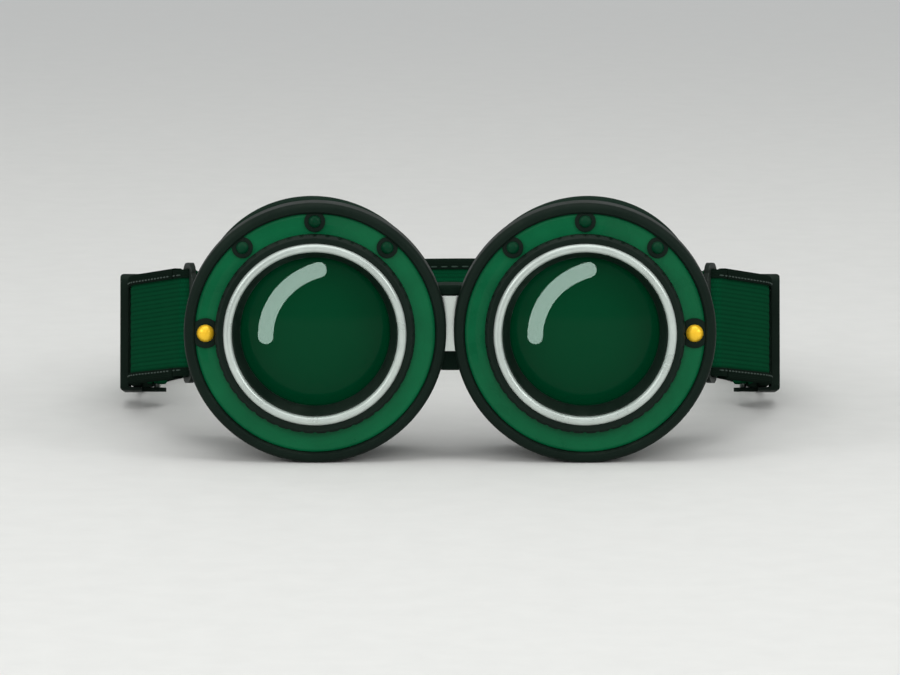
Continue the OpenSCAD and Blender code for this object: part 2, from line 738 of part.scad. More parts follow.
module adjuster() {
    out = bind_half + strap_room;
    face_x = out + adjuster_t;
    ear = bar_r + 1.7;
    corner = 2;
    bend = 1;
    color([0.1, 0.12, 0.11]) at_adjuster() difference() {
        union() {
            intersection() {
                translate([-bind_half, 0, 0]) rotate([90, 0, 90]) linear_extrude(face_x + bind_half)
                    rounded_rect(adjuster_l, 2 * adjuster_out_h, corner);
                rotate([90, 0, 0]) linear_extrude(adjuster_l, center = true)
                    rounded_rect(2 * face_x, 2 * adjuster_out_h, bend);
            }
            translate([0, 0, -adjuster_out_h]) linear_extrude(2 * adjuster_out_h) {
                translate([-adjuster_bar_x, 0]) circle(r = ear, $fn = 48);
                translate([-adjuster_bar_x, -ear]) square([adjuster_bar_x, 2 * ear]);
            }
        }
        translate([-adjuster_bar_x - ear - 1, -adjuster_l / 2 - 1, -adjuster_in_h])
            cube([adjuster_bar_x + ear + 1 + out, adjuster_l + 2, 2 * adjuster_in_h]);
        rotate([90, 0, 90]) linear_extrude(face_x + 1) rounded_rect(window_l, window_h, corner);
        adjuster_pin(bar_r, adjuster_out_h + 1);
    }
}

module adjuster_pin(r, half) {
    translate([-adjuster_bar_x, 0, -half]) cylinder(r = r, h = 2 * half, $fn = 48);
}

module adjuster_bar() {
    color([0.55, 0.57, 0.56]) at_adjuster() adjuster_pin(bar_r, adjuster_out_h);
}

left() eyecup();  // left_eyecup
right() eyecup();  // right_eyecup
left() lens_frame();  // left_lens_frame
right() lens_frame();  // right_lens_frame
left() face_cushion();  // left_face_cushion
right() face_cushion();  // right_face_cushion
left() light_baffle();  // left_light_baffle
right() light_baffle();  // right_light_baffle
left() frame_rivets();  // left_frame_rivets
right() frame_rivets();  // right_frame_rivets
left() rivet_washers();  // left_rivet_washers
right() rivet_washers();  // right_rivet_washers
left() temple_screw();  // left_temple_screw
right() temple_screw();  // right_temple_screw
left() screw_washer();  // left_screw_washer
right() screw_washer();  // right_screw_washer
left() temple_bracket();  // left_temple_bracket
right() temple_bracket();  // right_temple_bracket
left() pivot_rivet();  // left_pivot_rivet
right() pivot_rivet();  // right_pivot_rivet
at_goggles() bridge_plate();
at_goggles() bridge_rivets();
at_goggles() nose_pad();
left() cover_lens();  // left_cover_lens
right() cover_lens();  // right_cover_lens
left() filter_lens();  // left_filter_lens
right() filter_lens();  // right_filter_lens
left() front_gasket();  // left_front_gasket
right() front_gasket();  // right_front_gasket
left() rear_gasket();  // left_rear_gasket
right() rear_gasket();  // right_rear_gasket
left() lens_ring();  // left_lens_ring
right() lens_ring();  // right_lens_ring
left() bezel();  // left_bezel
right() bezel();  // right_bezel
strap_band();
strap_binding(1);  // strap_top_binding
strap_binding(-1);  // strap_bottom_binding
left() strap_lug();  // left_strap_lug
right() strap_lug();  // right_strap_lug
left() strap_tail();  // left_strap_tail
right() strap_tail();  // right_strap_tail
left() adjuster();  // left_adjuster
right() adjuster();  // right_adjuster
left() adjuster_bar();  // left_adjuster_bar
right() adjuster_bar();  // right_adjuster_bar
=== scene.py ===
# %% [markdown]
# # Round brazing goggles
# Two lens cups sit on a rigid nose bridge, and an elastic head strap hangs from a pivot at each temple.
# The rigid parts arrive as a finished frame, so most of this lesson is about surfaces: enamel, moulded
# black plastic, bright metal, glass, rubber and woven elastic. The soft parts and the round parts that
# catch the light are made here as formulas on a grid.

# %% Load the frame
import json
import math
import bmesh
import bpy
import numpy as np
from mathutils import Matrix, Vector


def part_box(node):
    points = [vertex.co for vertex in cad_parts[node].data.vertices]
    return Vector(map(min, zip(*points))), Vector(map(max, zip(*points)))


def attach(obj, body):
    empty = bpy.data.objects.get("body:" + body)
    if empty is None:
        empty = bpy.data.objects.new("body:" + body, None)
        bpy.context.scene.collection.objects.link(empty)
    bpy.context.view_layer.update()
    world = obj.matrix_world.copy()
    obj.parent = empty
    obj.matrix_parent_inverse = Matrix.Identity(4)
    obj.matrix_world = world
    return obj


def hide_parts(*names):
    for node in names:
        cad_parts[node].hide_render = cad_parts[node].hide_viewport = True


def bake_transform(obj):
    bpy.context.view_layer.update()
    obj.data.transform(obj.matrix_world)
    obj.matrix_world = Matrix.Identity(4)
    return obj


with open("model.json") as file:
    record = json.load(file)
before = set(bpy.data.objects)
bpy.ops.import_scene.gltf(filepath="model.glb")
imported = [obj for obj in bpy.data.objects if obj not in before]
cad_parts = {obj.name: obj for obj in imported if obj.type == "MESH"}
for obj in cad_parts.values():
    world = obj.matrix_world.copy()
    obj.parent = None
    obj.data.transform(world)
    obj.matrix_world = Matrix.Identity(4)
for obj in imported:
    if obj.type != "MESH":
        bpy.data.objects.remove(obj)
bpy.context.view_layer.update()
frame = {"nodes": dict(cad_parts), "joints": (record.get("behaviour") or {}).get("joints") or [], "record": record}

# %% [markdown]
# ## Where things are
# Lengths below are in millimetres, because that is how goggles are drawn, and MM turns them into
# Blender's metres. The lens axes, the flange's front face and the strap pivots are read from the frame,
# so a piece made here lands on the part that carries it. Most places are given from the middle between
# the lens axes on the flange's face: x to the right, w back and z up.

# %% Datums
MM = 0.001
TINY = 1e-4
SIDES = {"left": -1, "right": 1}


def low_high(node):
    """The two corners of a node's box, in millimetres."""
    low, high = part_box(node)
    return np.array(low) / MM, np.array(high) / MM


lens_low, lens_high = low_high("right_cover_lens")
LENS_X = (lens_low[0] + lens_high[0]) / 2
LENS_Z = (lens_low[2] + lens_high[2]) / 2
FLANGE_Y = low_high("right_lens_frame")[0][1]
MIDDLE = np.array([0, FLANGE_Y, LENS_Z])
swing = [j for j in frame["joints"] if j["name"] == "strap_swing"][0]
PIVOT_W = swing["pos_m"][1] / MM - FLANGE_Y
PIVOT_UP = swing["pos_m"][2] / MM - LENS_Z
print(f"lens axes at x = {LENS_X:.1f} mm, z = {LENS_Z:.1f} mm; flange face at y = {FLANGE_Y:.1f} mm")

# %% [markdown]
# Lamps, cameras and meshes all enter the scene in the same way.

# %% Objects
def placed(name, data):
    """A new object of the scene."""
    thing = bpy.data.objects.new(name, data)
    bpy.context.scene.collection.objects.link(thing)
    return thing


def looking(name, data, place, way):
    """A new object at place that looks along way, as cameras and lamps do."""
    thing = placed(name, data)
    thing.location = place
    thing.rotation_mode = "QUATERNION"
    thing.rotation_quaternion = way.to_track_quat("-Z", "Y")
    return thing


def new_mesh(name, points, polygons):
    """A mesh from points in millimetres and lists of their numbers."""
    mesh = bpy.data.meshes.new(name)
    mesh.from_pydata((points.reshape(-1, 3) * MM).tolist(), [], polygons)
    return mesh


# %% [markdown]
# ## The camera
# The goggles are seen straight from the front by a long lens a couple of metres away, a little above
# them, so the far side of the strap shows over the bridge. The lens axes are 72 mm and 270 pixels apart,
# which sets the distance, and they lie a few pixels above the middle of the frame.

# %% Camera
FRAME_W, FRAME_H = 900, 675
LENS_ROW = 333
MM_PER_PIXEL = 72 / 270
CAMERA_LENS, SENSOR = 300, 36
CAMERA_RISE = math.radians(7.9)
distance = MM_PER_PIXEL * FRAME_W * CAMERA_LENS / SENSOR
aim = Vector((0, FLANGE_Y, LENS_Z - (FRAME_H / 2 - LENS_ROW) * MM_PER_PIXEL)) * MM
to_camera = Vector((0, -math.cos(CAMERA_RISE), math.sin(CAMERA_RISE)))
camera_data = bpy.data.cameras.new("camera")
camera_data.lens, camera_data.sensor_width = CAMERA_LENS, SENSOR
camera_data.clip_start, camera_data.clip_end = 0.05, 60
camera = looking("camera", camera_data, aim + to_camera * distance * MM, -to_camera)
bpy.context.scene.camera = camera
print(f"camera {distance / 1000:.2f} m from the flange")

# %% [markdown]
# ## Lines of points
# Outlines and routes are lines of points. These small rules on them are used again and again.

# %% Lines of points
def together(*parts):
    """Coordinates side by side in a new last axis, each spread over the shape of the whole."""
    return np.stack(np.broadcast_arrays(*parts), -1)


def unit(vectors):
    """The same directions with length 1."""
    return vectors / np.maximum(np.linalg.norm(vectors, axis=-1, keepdims=True), 1e-12)


def run_length(place):
    """Distance along a line of points."""
    return np.concatenate([[0], np.cumsum(np.linalg.norm(np.diff(place, axis=0), axis=1))])


def between(at, s, values):
    """The rows of values, known at distances s, at the distances at."""
    return together(*(np.interp(at, s, column) for column in values.T))


def squarish(c, power):
    """A sine or cosine with its size raised to a power below 1, so that a circle comes out squarer."""
    return np.sign(c) * np.abs(c) ** power


print("a step of 3 by 4 is", run_length(np.array([[0, 0], [3, 4]]))[-1], "long")

# %% [markdown]
# ## From a grid of points to a mesh
# Every new piece is a grid: one direction runs along or round it, the other goes across. A grid that
# closes on itself joins its last row to its first. The faces are worked out as one array, and the sign
# of the enclosed volume says whether they have to be turned to point outwards.

# %% Mesh from a grid
def grid_faces(rows, columns, close_rows, close_columns):
    """Corner numbers of the quads of a grid, as an array of shape (faces, 4)."""
    i = np.arange(rows if close_rows else rows - 1)[:, None]
    j = np.arange(columns if close_columns else columns - 1)[None, :]
    i2, j2 = (i + 1) % rows, (j + 1) % columns
    return together(i * columns + j, i2 * columns + j, i2 * columns + j2, i * columns + j2).reshape(-1, 4)


def enclosed(points, faces):
    """Signed volume of a closed surface: a . (b x c) summed over the triangles of its faces, by six."""
    corners = points[faces]
    first, others = corners[:, 0], corners[:, 1:]
    return np.einsum("ij,ikj->", first, np.cross(others[:, :-1], others[:, 1:])) / 6


def mesh_from(name, points, faces, ends=None, uv=None, angle=40):
    """A mesh object from points in millimetres. ends are the faces that close a tube, and uv belongs to
    faces. It is smooth, except where faces meet at more than angle degrees."""
    volume = enclosed(points, faces) + (0 if ends is None else enclosed(points, ends))
    turn = slice(None, None, -1 if volume < 0 else 1)
    polygons = faces[:, turn].tolist() + ([] if ends is None else ends[:, turn].tolist())
    mesh = new_mesh(name, points, polygons)
    mesh.update()
    if uv is not None:
        spread = np.zeros((len(mesh.loops), 2), np.float32)
        spread[:faces.size] = uv[:, turn].reshape(-1, 2)
        mesh.uv_layers.new(name="cloth").data.foreach_set("uv", spread.reshape(-1))
    mesh.shade_smooth()
    mesh.set_sharp_from_angle(angle=math.radians(angle))
    return placed(name, mesh)


def grid_piece(name, points, close_rows=True, uv=None, angle=40):
    """A piece from points of shape (rows, columns, 3), whose columns close on themselves.
    Rows close on themselves too, or else the first and last row are each closed by one face.
    uv has one more column than points, and one more row where the rows close."""
    rows, columns = points.shape[:2]
    faces = grid_faces(rows, columns, close_rows, True)
    ends = None
    if not close_rows:
        ends = np.stack([np.arange(columns), np.arange(rows * columns)[: -columns - 1: -1]])
    if uv is not None:
        i, j = np.divmod(np.arange(len(faces)), columns)
        uv = np.stack([uv[i, j], uv[i + 1, j], uv[i + 1, j + 1], uv[i, j + 1]], 1)
    return mesh_from(name, points.reshape(-1, 3), faces, ends, uv, angle)


print("a closed grid of 3 by 4 points has", len(grid_faces(3, 4, True, True)), "faces")

# %% [markdown]
# ## Turned parts
# Most of the front of the goggles was made on a lathe. A turned part is a closed outline of radius and
# depth carried round a lens axis. The outline is a list of corners, each with the radius of its
# rounding, because a real edge is never sharp and the round is what catches the light.

# %% Rounded outlines and turning
def rounded(corners, steps=5):
    """A closed outline through corners (x, y, r): each becomes an arc of radius r between its two sides."""
    c = np.array(corners, float)
    p, r = c[:, :2], c[:, 2]
    to_last, to_next = unit(np.roll(p, 1, 0) - p), unit(np.roll(p, -1, 0) - p)
    half = np.arccos(np.clip((to_last * to_next).sum(1), -0.999999, 0.999999)) / 2
    middle = to_last + to_next
    middle = middle / (np.linalg.norm(middle, axis=1)[:, None] + 1e-12)
    centre = p + middle * (r / np.sin(half))[:, None]
    first, last = (p + way * (r / np.tan(half))[:, None] - centre for way in (to_last, to_next))
    t = np.linspace(0, 1, steps)[None, :, None]
    spread = first[:, None] * (1 - t) + last[:, None] * t
    arc = centre[:, None] + unit(spread) * r[:, None, None]
    flat = np.where((r > 0)[:, None, None], arc, p[:, None]).reshape(-1, 2)
    return flat[np.linalg.norm(flat - np.roll(flat, 1, 0), axis=1) > 1e-6]


def turned(name, side, outline, steps=192, cut=None, angle=40):
    """Carries a closed outline of (radius, depth) round a lens axis:
    x = X + r cos a, y = Y + depth, z = Z + r sin a. cut(a, r, w) is what grooves and threads take off r."""
    a = np.linspace(0, 2 * np.pi, steps, endpoint=False)[:, None]
    r, w = outline.T[:, None]
    if cut is not None:
        r = r - cut(a, r, w)
    points = together(SIDES[side] * LENS_X + r * np.cos(a), FLANGE_Y + w, LENS_Z + r * np.sin(a))
    piece = grid_piece(name, points, angle=angle)
    if outline[:, 0].min() < TINY:
        close_pole(piece)
    return piece


def close_pole(piece):
    """Merges the points that meet on the axis, and drops the edges that no face is left on."""
    work = bmesh.new()
    work.from_mesh(piece.data)
    bmesh.ops.remove_doubles(work, verts=work.verts, dist=TINY * MM)
    bmesh.ops.delete(work, geom=[e for e in work.edges if not e.link_faces], context="EDGES")
    work.to_mesh(piece.data)
    work.free()


def denser(outline, step):
    """A closed outline with more points on its long sides: the old points, and one at every step."""
    closed = np.vstack([outline, outline[:1]])
    along = run_length(closed)
    at = np.union1d(along[:-1], np.arange(0, along[-1], step))
    at = at[np.concatenate([[True], np.diff(at) > step / 20])]
    return between(at, along, closed)


print("turning is ready:", len(rounded([(0, 0, 1), (9, 0, 1), (9, 9, 1)])), "points in a test outline")

# %% [markdown]
# ## Shared effects
# Every hard finish wears at its edges, and every surface has some grain. Both are node groups, so each
# material only sets how strong they are. Wear compares the true normal with one that is rounded over a
# small radius: they differ only near an edge. The same rounded normal softens the corners of the
# parts that came from the frame.

# %% Node helpers
def feed(tree, socket, value):
    """Connects a socket to another socket, or sets it to a constant."""
    if hasattr(value, "links"):
        tree.links.new(value, socket)
    else:
        socket.default_value = value


def fill(tree, node, *first, **values):
    """Gives the first values to the node's inputs in order, and each named one to the input of that
    name, with _ for a blank, or else to the property."""
    for socket, value in zip(node.inputs, first):
        feed(tree, socket, value)
    for key, value in values.items():
        name = key.replace("_", " ")
        if name in node.inputs:
            feed(tree, node.inputs[name], value)
        else:
            setattr(node, key, value)


def new_node(tree, kind, *first, **values):
    """Adds a shader node and fills in these values."""
    made = tree.nodes.new("ShaderNode" + kind)
    fill(tree, made, *first, **values)
    return made


def maths(tree, operation, a, b=0.0, clamp=False):
    """The result of a Math node on two values or sockets."""
    return new_node(tree, "Math", a, b, operation=operation, use_clamp=clamp).outputs[0]


def times(tree, a, b, clamp=False):
    """a * b"""
    return maths(tree, "MULTIPLY", a, b, clamp)


def line(tree, value, gain, offset):
    """value * gain + offset"""
    return maths(tree, "ADD", times(tree, value, gain), offset)


def above(tree, value, threshold, gain):
    """(value - threshold) * gain, held between 0 and 1."""
    return times(tree, maths(tree, "SUBTRACT", value, threshold), gain, clamp=True)


def noise(tree, scale, detail, roughness):
    """Noise in the object's own space."""
    place = new_node(tree, "TexCoord")
    made = new_node(tree, "TexNoise", Vector=place.outputs["Object"], Scale=scale, Detail=detail,
                    Roughness=roughness)
    return made.outputs["Fac"]


def new_group(name, inputs, outputs):
    """An empty node group with float inputs {name: value} and outputs. Only Normal is a vector.
    Returns the group, the sockets that give its inputs and the node that takes its outputs."""
    tree = bpy.data.node_groups.new(name, "ShaderNodeTree")
    for key, value in inputs.items():
        socket = tree.interface.new_socket(name=key, in_out="INPUT", socket_type="NodeSocketFloat")
        socket.default_value = value
    for key in outputs:
        kind = "NodeSocketVector" if key == "Normal" else "NodeSocketFloat"
        tree.interface.new_socket(name=key, in_out="OUTPUT", socket_type=kind)
    return tree, tree.nodes.new("NodeGroupInput").outputs, tree.nodes.new("NodeGroupOutput")


print("node helpers are ready")

# %% [markdown]
# Wear is patchy, so the edge mask is multiplied by noise before it is used.

# %% Edge wear group
EDGE_GAIN = 6.0
PATCH_FROM, PATCH_GAIN = 0.42, 5.0


def make_edge_group():
    """Edge = how far the rounded normal turns from the true one. Wear = edge * patchy noise * amount."""
    tree, given, result = new_group("edge_wear", {"Radius": 0.0004, "Amount": 0.5, "Patch size": 900.0},
                                    ("Wear", "Normal"))
    rounding = new_node(tree, "Bevel", samples=6, Radius=given["Radius"])
    geometry = new_node(tree, "NewGeometry")
    dot = new_node(tree, "VectorMath", rounding.outputs[0], geometry.outputs["Normal"],
                   operation="DOT_PRODUCT")
    edge = times(tree, maths(tree, "SUBTRACT", 1.0, dot.outputs["Value"]), EDGE_GAIN, clamp=True)
    patch = above(tree, noise(tree, given["Patch size"], 4.0, 0.6), PATCH_FROM, PATCH_GAIN)
    wear = times(tree, times(tree, edge, patch), given["Amount"], clamp=True)
    fill(tree, result, Wear=wear, Normal=rounding.outputs[0])
    return tree


EDGE_GROUP = make_edge_group()
print("group:", EDGE_GROUP.name)

# %% [markdown]
# Grain gives a surface its fine height and a little spread of gloss and tone. Two sizes of noise are
# enough: a fine one for the height, and a coarse one that makes hands and dust visible.

# %% Grain group
TONE_FROM, TONE_GAIN = 0.3, 2.5


def make_grain_group():
    """Height = fine noise. Tone = coarse noise, stretched. Dust = tone squared, where a face looks up."""
    tree, given, result = new_group("grain", {"Fine size": 3000.0, "Coarse size": 90.0},
                                    ("Height", "Tone", "Dust"))
    tone = above(tree, noise(tree, given["Coarse size"], 5.0, 0.6), TONE_FROM, TONE_GAIN)
    geometry = new_node(tree, "NewGeometry")
    split = new_node(tree, "SeparateXYZ", Vector=geometry.outputs["Normal"])
    up = maths(tree, "MAXIMUM", split.outputs["Z"], 0.0)
    fill(tree, result, Height=noise(tree, given["Fine size"], 3.0, 0.55), Tone=tone,
         Dust=times(tree, times(tree, up, tone), tone, clamp=True))
    return tree


GRAIN_GROUP = make_grain_group()
print("group:", GRAIN_GROUP.name)

# %% [markdown]
# ## Hard finishes
# A hard finish mixes a base colour with a worn colour by the wear mask, lets the coarse tone spread the
# roughness, and bumps the surface with the fine grain on top of the rounded normal. Constants such as
# metal, coat and specular level sit on the shader itself.

# %% Colours
def colour(red, green, blue):
    """A colour as seen on a screen, 0 to 255, in the linear values that Blender mixes."""
    c = np.array([red, green, blue]) / 255
    linear = np.where(c <= 0.04045, c / 12.92, ((c + 0.055) / 1.055) ** 2.4)
    return (*linear.tolist(), 1.0)


def scaled(base, factor, extra=0.0):
    """A colour made darker or lighter."""
    return tuple(min(1, c * factor + extra) for c in base[:3]) + (1.0,)


BLACK = colour(16, 28, 22)
ENAMEL = colour(6, 90, 54)
ELASTIC_GREEN = colour(5, 59, 35)
TAPE_BLACK = colour(14, 25, 19)
BRIGHT = colour(190, 200, 194)
GOLD = colour(250, 198, 40)
RIVET_GREEN = colour(2, 52, 31)
THREAD = colour(30, 52, 42)
DUST = colour(120, 122, 112)
print("colours are ready")

# %% Hard finish
MATERIAL = {}
GRAIN_DEEP = 0.0002


def blank_material(name, kind="BsdfPrincipled", **constants):
    """A material with an output and one shader, which has these constants. Returns its tree and shader."""
    material = bpy.data.materials.new(name)
    material.use_nodes = True
    tree = material.node_tree
    tree.nodes.clear()
    shader = new_node(tree, kind, **constants)
    new_node(tree, "OutputMaterial", Surface=shader.outputs[0])
    MATERIAL[name] = material
    return tree, shader


def mix_colours(tree, factor, a, b):
    """A colour mixed from a to b by factor. The colour sockets of a Mix node are inputs 6 and 7, output 2."""
    made = new_node(tree, "Mix", data_type="RGBA")
    for k, value in ((0, factor), (6, a), (7, b)):
        feed(tree, made.inputs[k], value)
    return made.outputs[2]


def hard_finish(name, base, worn, rough=(0.3, 0.45), wear=0.5, edge=0.0004, grain=(3000, 0.02), tone=0.12,
                dust=0.05, **constants):
    """Paint, plastic or metal. rough is the span of roughness, edge the rounded normal's radius in metres,
    grain the fine noise's scale and strength, and tone the spread of the base colour."""
    tree, shader = blank_material(name, **constants)
    edges = new_node(tree, "Group", node_tree=EDGE_GROUP, Radius=edge, Amount=wear)
    grains = new_node(tree, "Group", node_tree=GRAIN_GROUP, Fine_size=grain[0])
    toned = mix_colours(tree, grains.outputs["Tone"], scaled(base, 1 - tone), scaled(base, 1 + tone))
    dusty = mix_colours(tree, times(tree, grains.outputs["Dust"], dust), toned, DUST)
    bump = new_node(tree, "Bump", Strength=grain[1], Distance=GRAIN_DEEP,
                    Height=grains.outputs["Height"], Normal=edges.outputs["Normal"])
    fill(tree, shader, Base_Color=mix_colours(tree, edges.outputs["Wear"], dusty, worn),
         Roughness=line(tree, grains.outputs["Tone"], rough[1] - rough[0], rough[0]), Normal=bump.outputs[0])
    return tree


hard_finish("moulded_black", BLACK, colour(48, 60, 54), (0.4, 0.55), 0.45, grain=(5200, 0.12),
            Specular_IOR_Level=0.07)
hard_finish("green_enamel", ENAMEL, colour(70, 104, 86), (0.24, 0.38), grain=(700, 0.10),
            Specular_IOR_Level=0.09, Coat_Weight=0.06)
hard_finish("black_metal", BLACK, colour(80, 92, 85), (0.34, 0.5), 0.6, grain=(3600, 0.06),
            Specular_IOR_Level=0.1)
hard_finish("dark_green_rivet", RIVET_GREEN, colour(40, 84, 62), (0.25, 0.4), 0.3, Specular_IOR_Level=0.08)
hard_finish("black_washer", BLACK, colour(34, 46, 40), (0.55, 0.7), 0.3, grain=(4200, 0.1),
            Specular_IOR_Level=0.08)
hard_finish("gold_brass", GOLD, colour(255, 224, 120), (0.26, 0.36), 0.15, grain=(1800, 0.01), tone=0.05,
            Metallic=0.4)
hard_finish("dark_steel", colour(25, 33, 29), colour(96, 104, 99), (0.36, 0.52), 0.6, grain=(2400, 0.06),
            Metallic=0.15, Specular_IOR_Level=0.1)
hard_finish("bright_steel", BRIGHT, colour(220, 226, 222), (0.24, 0.36), 0.4, grain=(1500, 0.04),
            Metallic=0.45)
hard_finish("polished_nickel", colour(208, 216, 211), colour(226, 232, 228), (0.1, 0.18), 0.15,
            edge=0.0002, grain=(900, 0.01), tone=0.05, dust=0.02, Metallic=0.9)
hard_finish("pin_steel", colour(146, 152, 149), colour(200, 204, 202), (0.25, 0.4), 0.4, Metallic=0.8)
hard_finish("gasket_fibre", colour(92, 84, 74), colour(120, 112, 100), (0.8, 0.9), 0.2, grain=(1800, 0.3))
hard_finish("soft_rubber", colour(22, 38, 30), colour(42, 56, 49), (0.6, 0.75), 0.15, grain=(2600, 0.2),
            dust=0.03, Specular_IOR_Level=0.04)
hard_finish("sewing_thread", THREAD, THREAD, (0.6, 0.7), 0.0, grain=(6000, 0.1))
print("hard finishes:", ", ".join(MATERIAL))

# %% [markdown]
# ## Glass
# Both lenses are dark green glass: a flat filter, and a thin dome in front of it that takes the spatter.
# Little light comes back out of either, so most of their colour is the body colour of the shader and
# only a fifth is transmission. A curved lamp in front of the dome shows as one bright stroke. The coating
# keeps the rest of the room out of the reflection, and the specular tint stands for it.

# %% Glass materials
GLASS_SHARE, GLASS_IOR = 0.2, 1.5
COATING = (0.13, 0.13, 0.13, 1)
POLISH = 0.003


def glass(name, tint, haze, specular):
    """Glass: a tint, a light haze from coarse noise, and a tinted, weakened reflection."""
    tree, shader = blank_material(name, Base_Color=tint, Transmission_Weight=GLASS_SHARE, IOR=GLASS_IOR,
                                  Specular_IOR_Level=specular, Specular_Tint=COATING)
    grains = new_node(tree, "Group", node_tree=GRAIN_GROUP)
    fill(tree, shader, Roughness=line(tree, grains.outputs["Tone"], haze, POLISH))


glass("cover_glass", colour(0, 64, 36), 0.006, 0.5)
glass("filter_glass", colour(1, 56, 31), 0.04, 0.05)
print("glass is ready")

# %% [markdown]
# ## Woven elastic
# Elastic webbing is ribbed along its length, because rubber cords run inside it, and crossed by fine
# yarns. The cloth's own map has u along the strap and v across it, both in millimetres, so the weave
# bends with the strap. Binding tape is the same idea with finer ribs and wider yarns.

# %% Weave group
def wave(tree, turns):
    """A row of rounded humps: the size of sin(pi * turns)."""
    return maths(tree, "ABSOLUTE", maths(tree, "SINE", times(tree, turns, math.pi)))


def make_weave_group():
    """Height = ribs, a rounded wave along v, times yarns, a wave along u that shifts on every other rib.
    Shade = the same from 0.3 to 1, which the cloth uses as painted shade in the hollows and a painted highlight on
    the crests."""
    tree, given, result = new_group("weave", {"Rib pitch": 1.15, "Yarn pitch": 0.55}, ("Height", "Shade"))
    place = new_node(tree, "UVMap", uv_map="cloth")
    split = new_node(tree, "SeparateXYZ", Vector=place.outputs[0])
    v = maths(tree, "DIVIDE", split.outputs["Y"], given["Rib pitch"])
    u = maths(tree, "DIVIDE", split.outputs["X"], given["Yarn pitch"])
    odd = times(tree, maths(tree, "MODULO", maths(tree, "FLOOR", v), 2.0), 0.5)
    rib = maths(tree, "POWER", wave(tree, v), 0.6)
    yarn = wave(tree, maths(tree, "ADD", u, odd))
    height = times(tree, rib, line(tree, yarn, 0.5, 0.5))
    fill(tree, result, Height=height, Shade=line(tree, height, 0.7, 0.3))
    return tree


WEAVE_GROUP = make_weave_group()
BAND_H, CORDS = 28.6, 12
# Painted shade and highlight: the base colour is made darker in the weave's hollows and lighter on its crests.
HOLLOW_SHADE, CREST_HIGHLIGHT = 0.43, 1.27
FADED, UNEVEN = 1.25, 0.35
WEAVE_DEEP = 0.00025


def cloth(name, base, rib, yarn, sheen):
    """Cloth: woven height from the map, painted shade in the weave's hollows and a painted highlight on its
    crests, a soft sheen, and uneven dye.
    """
    tree, shader = blank_material(name, Sheen_Weight=sheen, Sheen_Roughness=0.45, Specular_IOR_Level=0.0)
    weave = new_node(tree, "Group", node_tree=WEAVE_GROUP, Rib_pitch=rib, Yarn_pitch=yarn)
    grains = new_node(tree, "Group", node_tree=GRAIN_GROUP)
    # Painted shade in the weave's hollows and painted highlight on its crests: the base colour is mixed from a
    # darker copy to a lighter copy by the weave's height.
    woven = mix_colours(tree, weave.outputs["Shade"], scaled(base, HOLLOW_SHADE), scaled(base, CREST_HIGHLIGHT))
    uneven = times(tree, grains.outputs["Tone"], UNEVEN)
    bump = new_node(tree, "Bump", Strength=0.5, Distance=WEAVE_DEEP, Height=weave.outputs["Height"])
    fill(tree, shader, Base_Color=mix_colours(tree, uneven, woven, scaled(base, FADED, 0.001)),
         Roughness=line(tree, weave.outputs["Shade"], -0.1, 0.92), Normal=bump.outputs[0])


cloth("green_elastic", ELASTIC_GREEN, BAND_H / CORDS / 2, 0.62, 0.004)
cloth("binding_tape", TAPE_BLACK, 0.5, 0.9, 0.005)
print("cloth is ready")

# %% [markdown]
# ## Dressing the frame's own parts
# A part whose shape is right keeps it, and only its slot changes. The record names each part's finish,
# so one loop dresses them all. The bridge plate is polished where the bezels are satin.

# %% Assign materials
finish_of = {s["node"]: s["material_slot"] for s in frame["record"]["subparts"]}
finish_of["bridge_plate"] = "polished_nickel"
finish_of["left_cover_lens"] = finish_of["right_cover_lens"] = "cover_glass"
for node, part in frame["nodes"].items():
    part.data.materials.clear()
    part.data.materials.append(MATERIAL[finish_of[node]])
print("dressed", len(finish_of), "parts")


def finish_piece(piece, material, body, *nodes, slot=None):
    """Gives a piece its finish and its body, no body where body is None, and hides the frame's nodes that it
    replaces."""
    print(piece.name, len(piece.data.polygons), "faces")
    piece.data.materials.append(MATERIAL[material])
    if body:
        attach(piece, body)
    if nodes:
        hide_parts(*nodes)


# %% [markdown]
# ## The screw thread
# The lens ring screws into the flange's barrel. Both carry one helix of the same pitch, so the ring's
# ridge runs in the barrel's groove at every step of its turn. A ridge is a wave of the distance from the
# helix, and the barrel's is shifted by half a pitch.

# %% Thread
PITCH, THREAD_DEPTH, THREAD_FLAT = 3.0, 0.4, 0.9


def thread(a, w, shift):
    """0 on the crest and 1 in the groove: a flattened cosine of the turns between a point and the helix."""
    turns = (w + PITCH * a / (2 * np.pi)) / PITCH + shift
    return np.clip(0.5 - THREAD_FLAT * np.cos(2 * np.pi * turns), 0, 1)


print("thread pitch", PITCH, "mm")

# %% [markdown]
# ## Enamelled lens frames
# The green ring is a steel flange with a barrel behind it, painted all over. Its front is very slightly
# dished, as a spun sheet is, which keeps a large flat ring from reflecting like a mirror. Its outline has
# rounded edges, and the thread is cut inside the barrel.

# %% Lens frames
BORE_SKIN = 26.3
THREAD_FROM, THREAD_TO, THREAD_FADE = 0.8, 4.6, 0.5


def frame_outline():
    """Flange and barrel, as (radius, depth): front face, edge, barrel, shoulder and bore."""
    corners = [(26.35, 0.05, 0.15), (29.2, 0.12, 0), (31.3, 0.02, 0.3), (32.1, 0.25, 0.25),
               (32.1, 1.8, 0.25), (27.2, 1.8, 0.1), (27.2, 11.6, 0.3), (21.5, 11.6, 0.3), (21.5, 10.0, 0.2),
               (26.1, 10.0, 0.2)]
    return denser(rounded(corners), 0.4)


def inner_thread(a, r, w):
    """The thread stands inwards from the bore between the mouth and the lenses."""
    fade = np.clip(np.minimum(w - THREAD_FROM, THREAD_TO - w) / THREAD_FADE, 0, 1)
    return np.where(r < BORE_SKIN, (1 - thread(a, w, 0.5)) * THREAD_DEPTH * fade, 0)


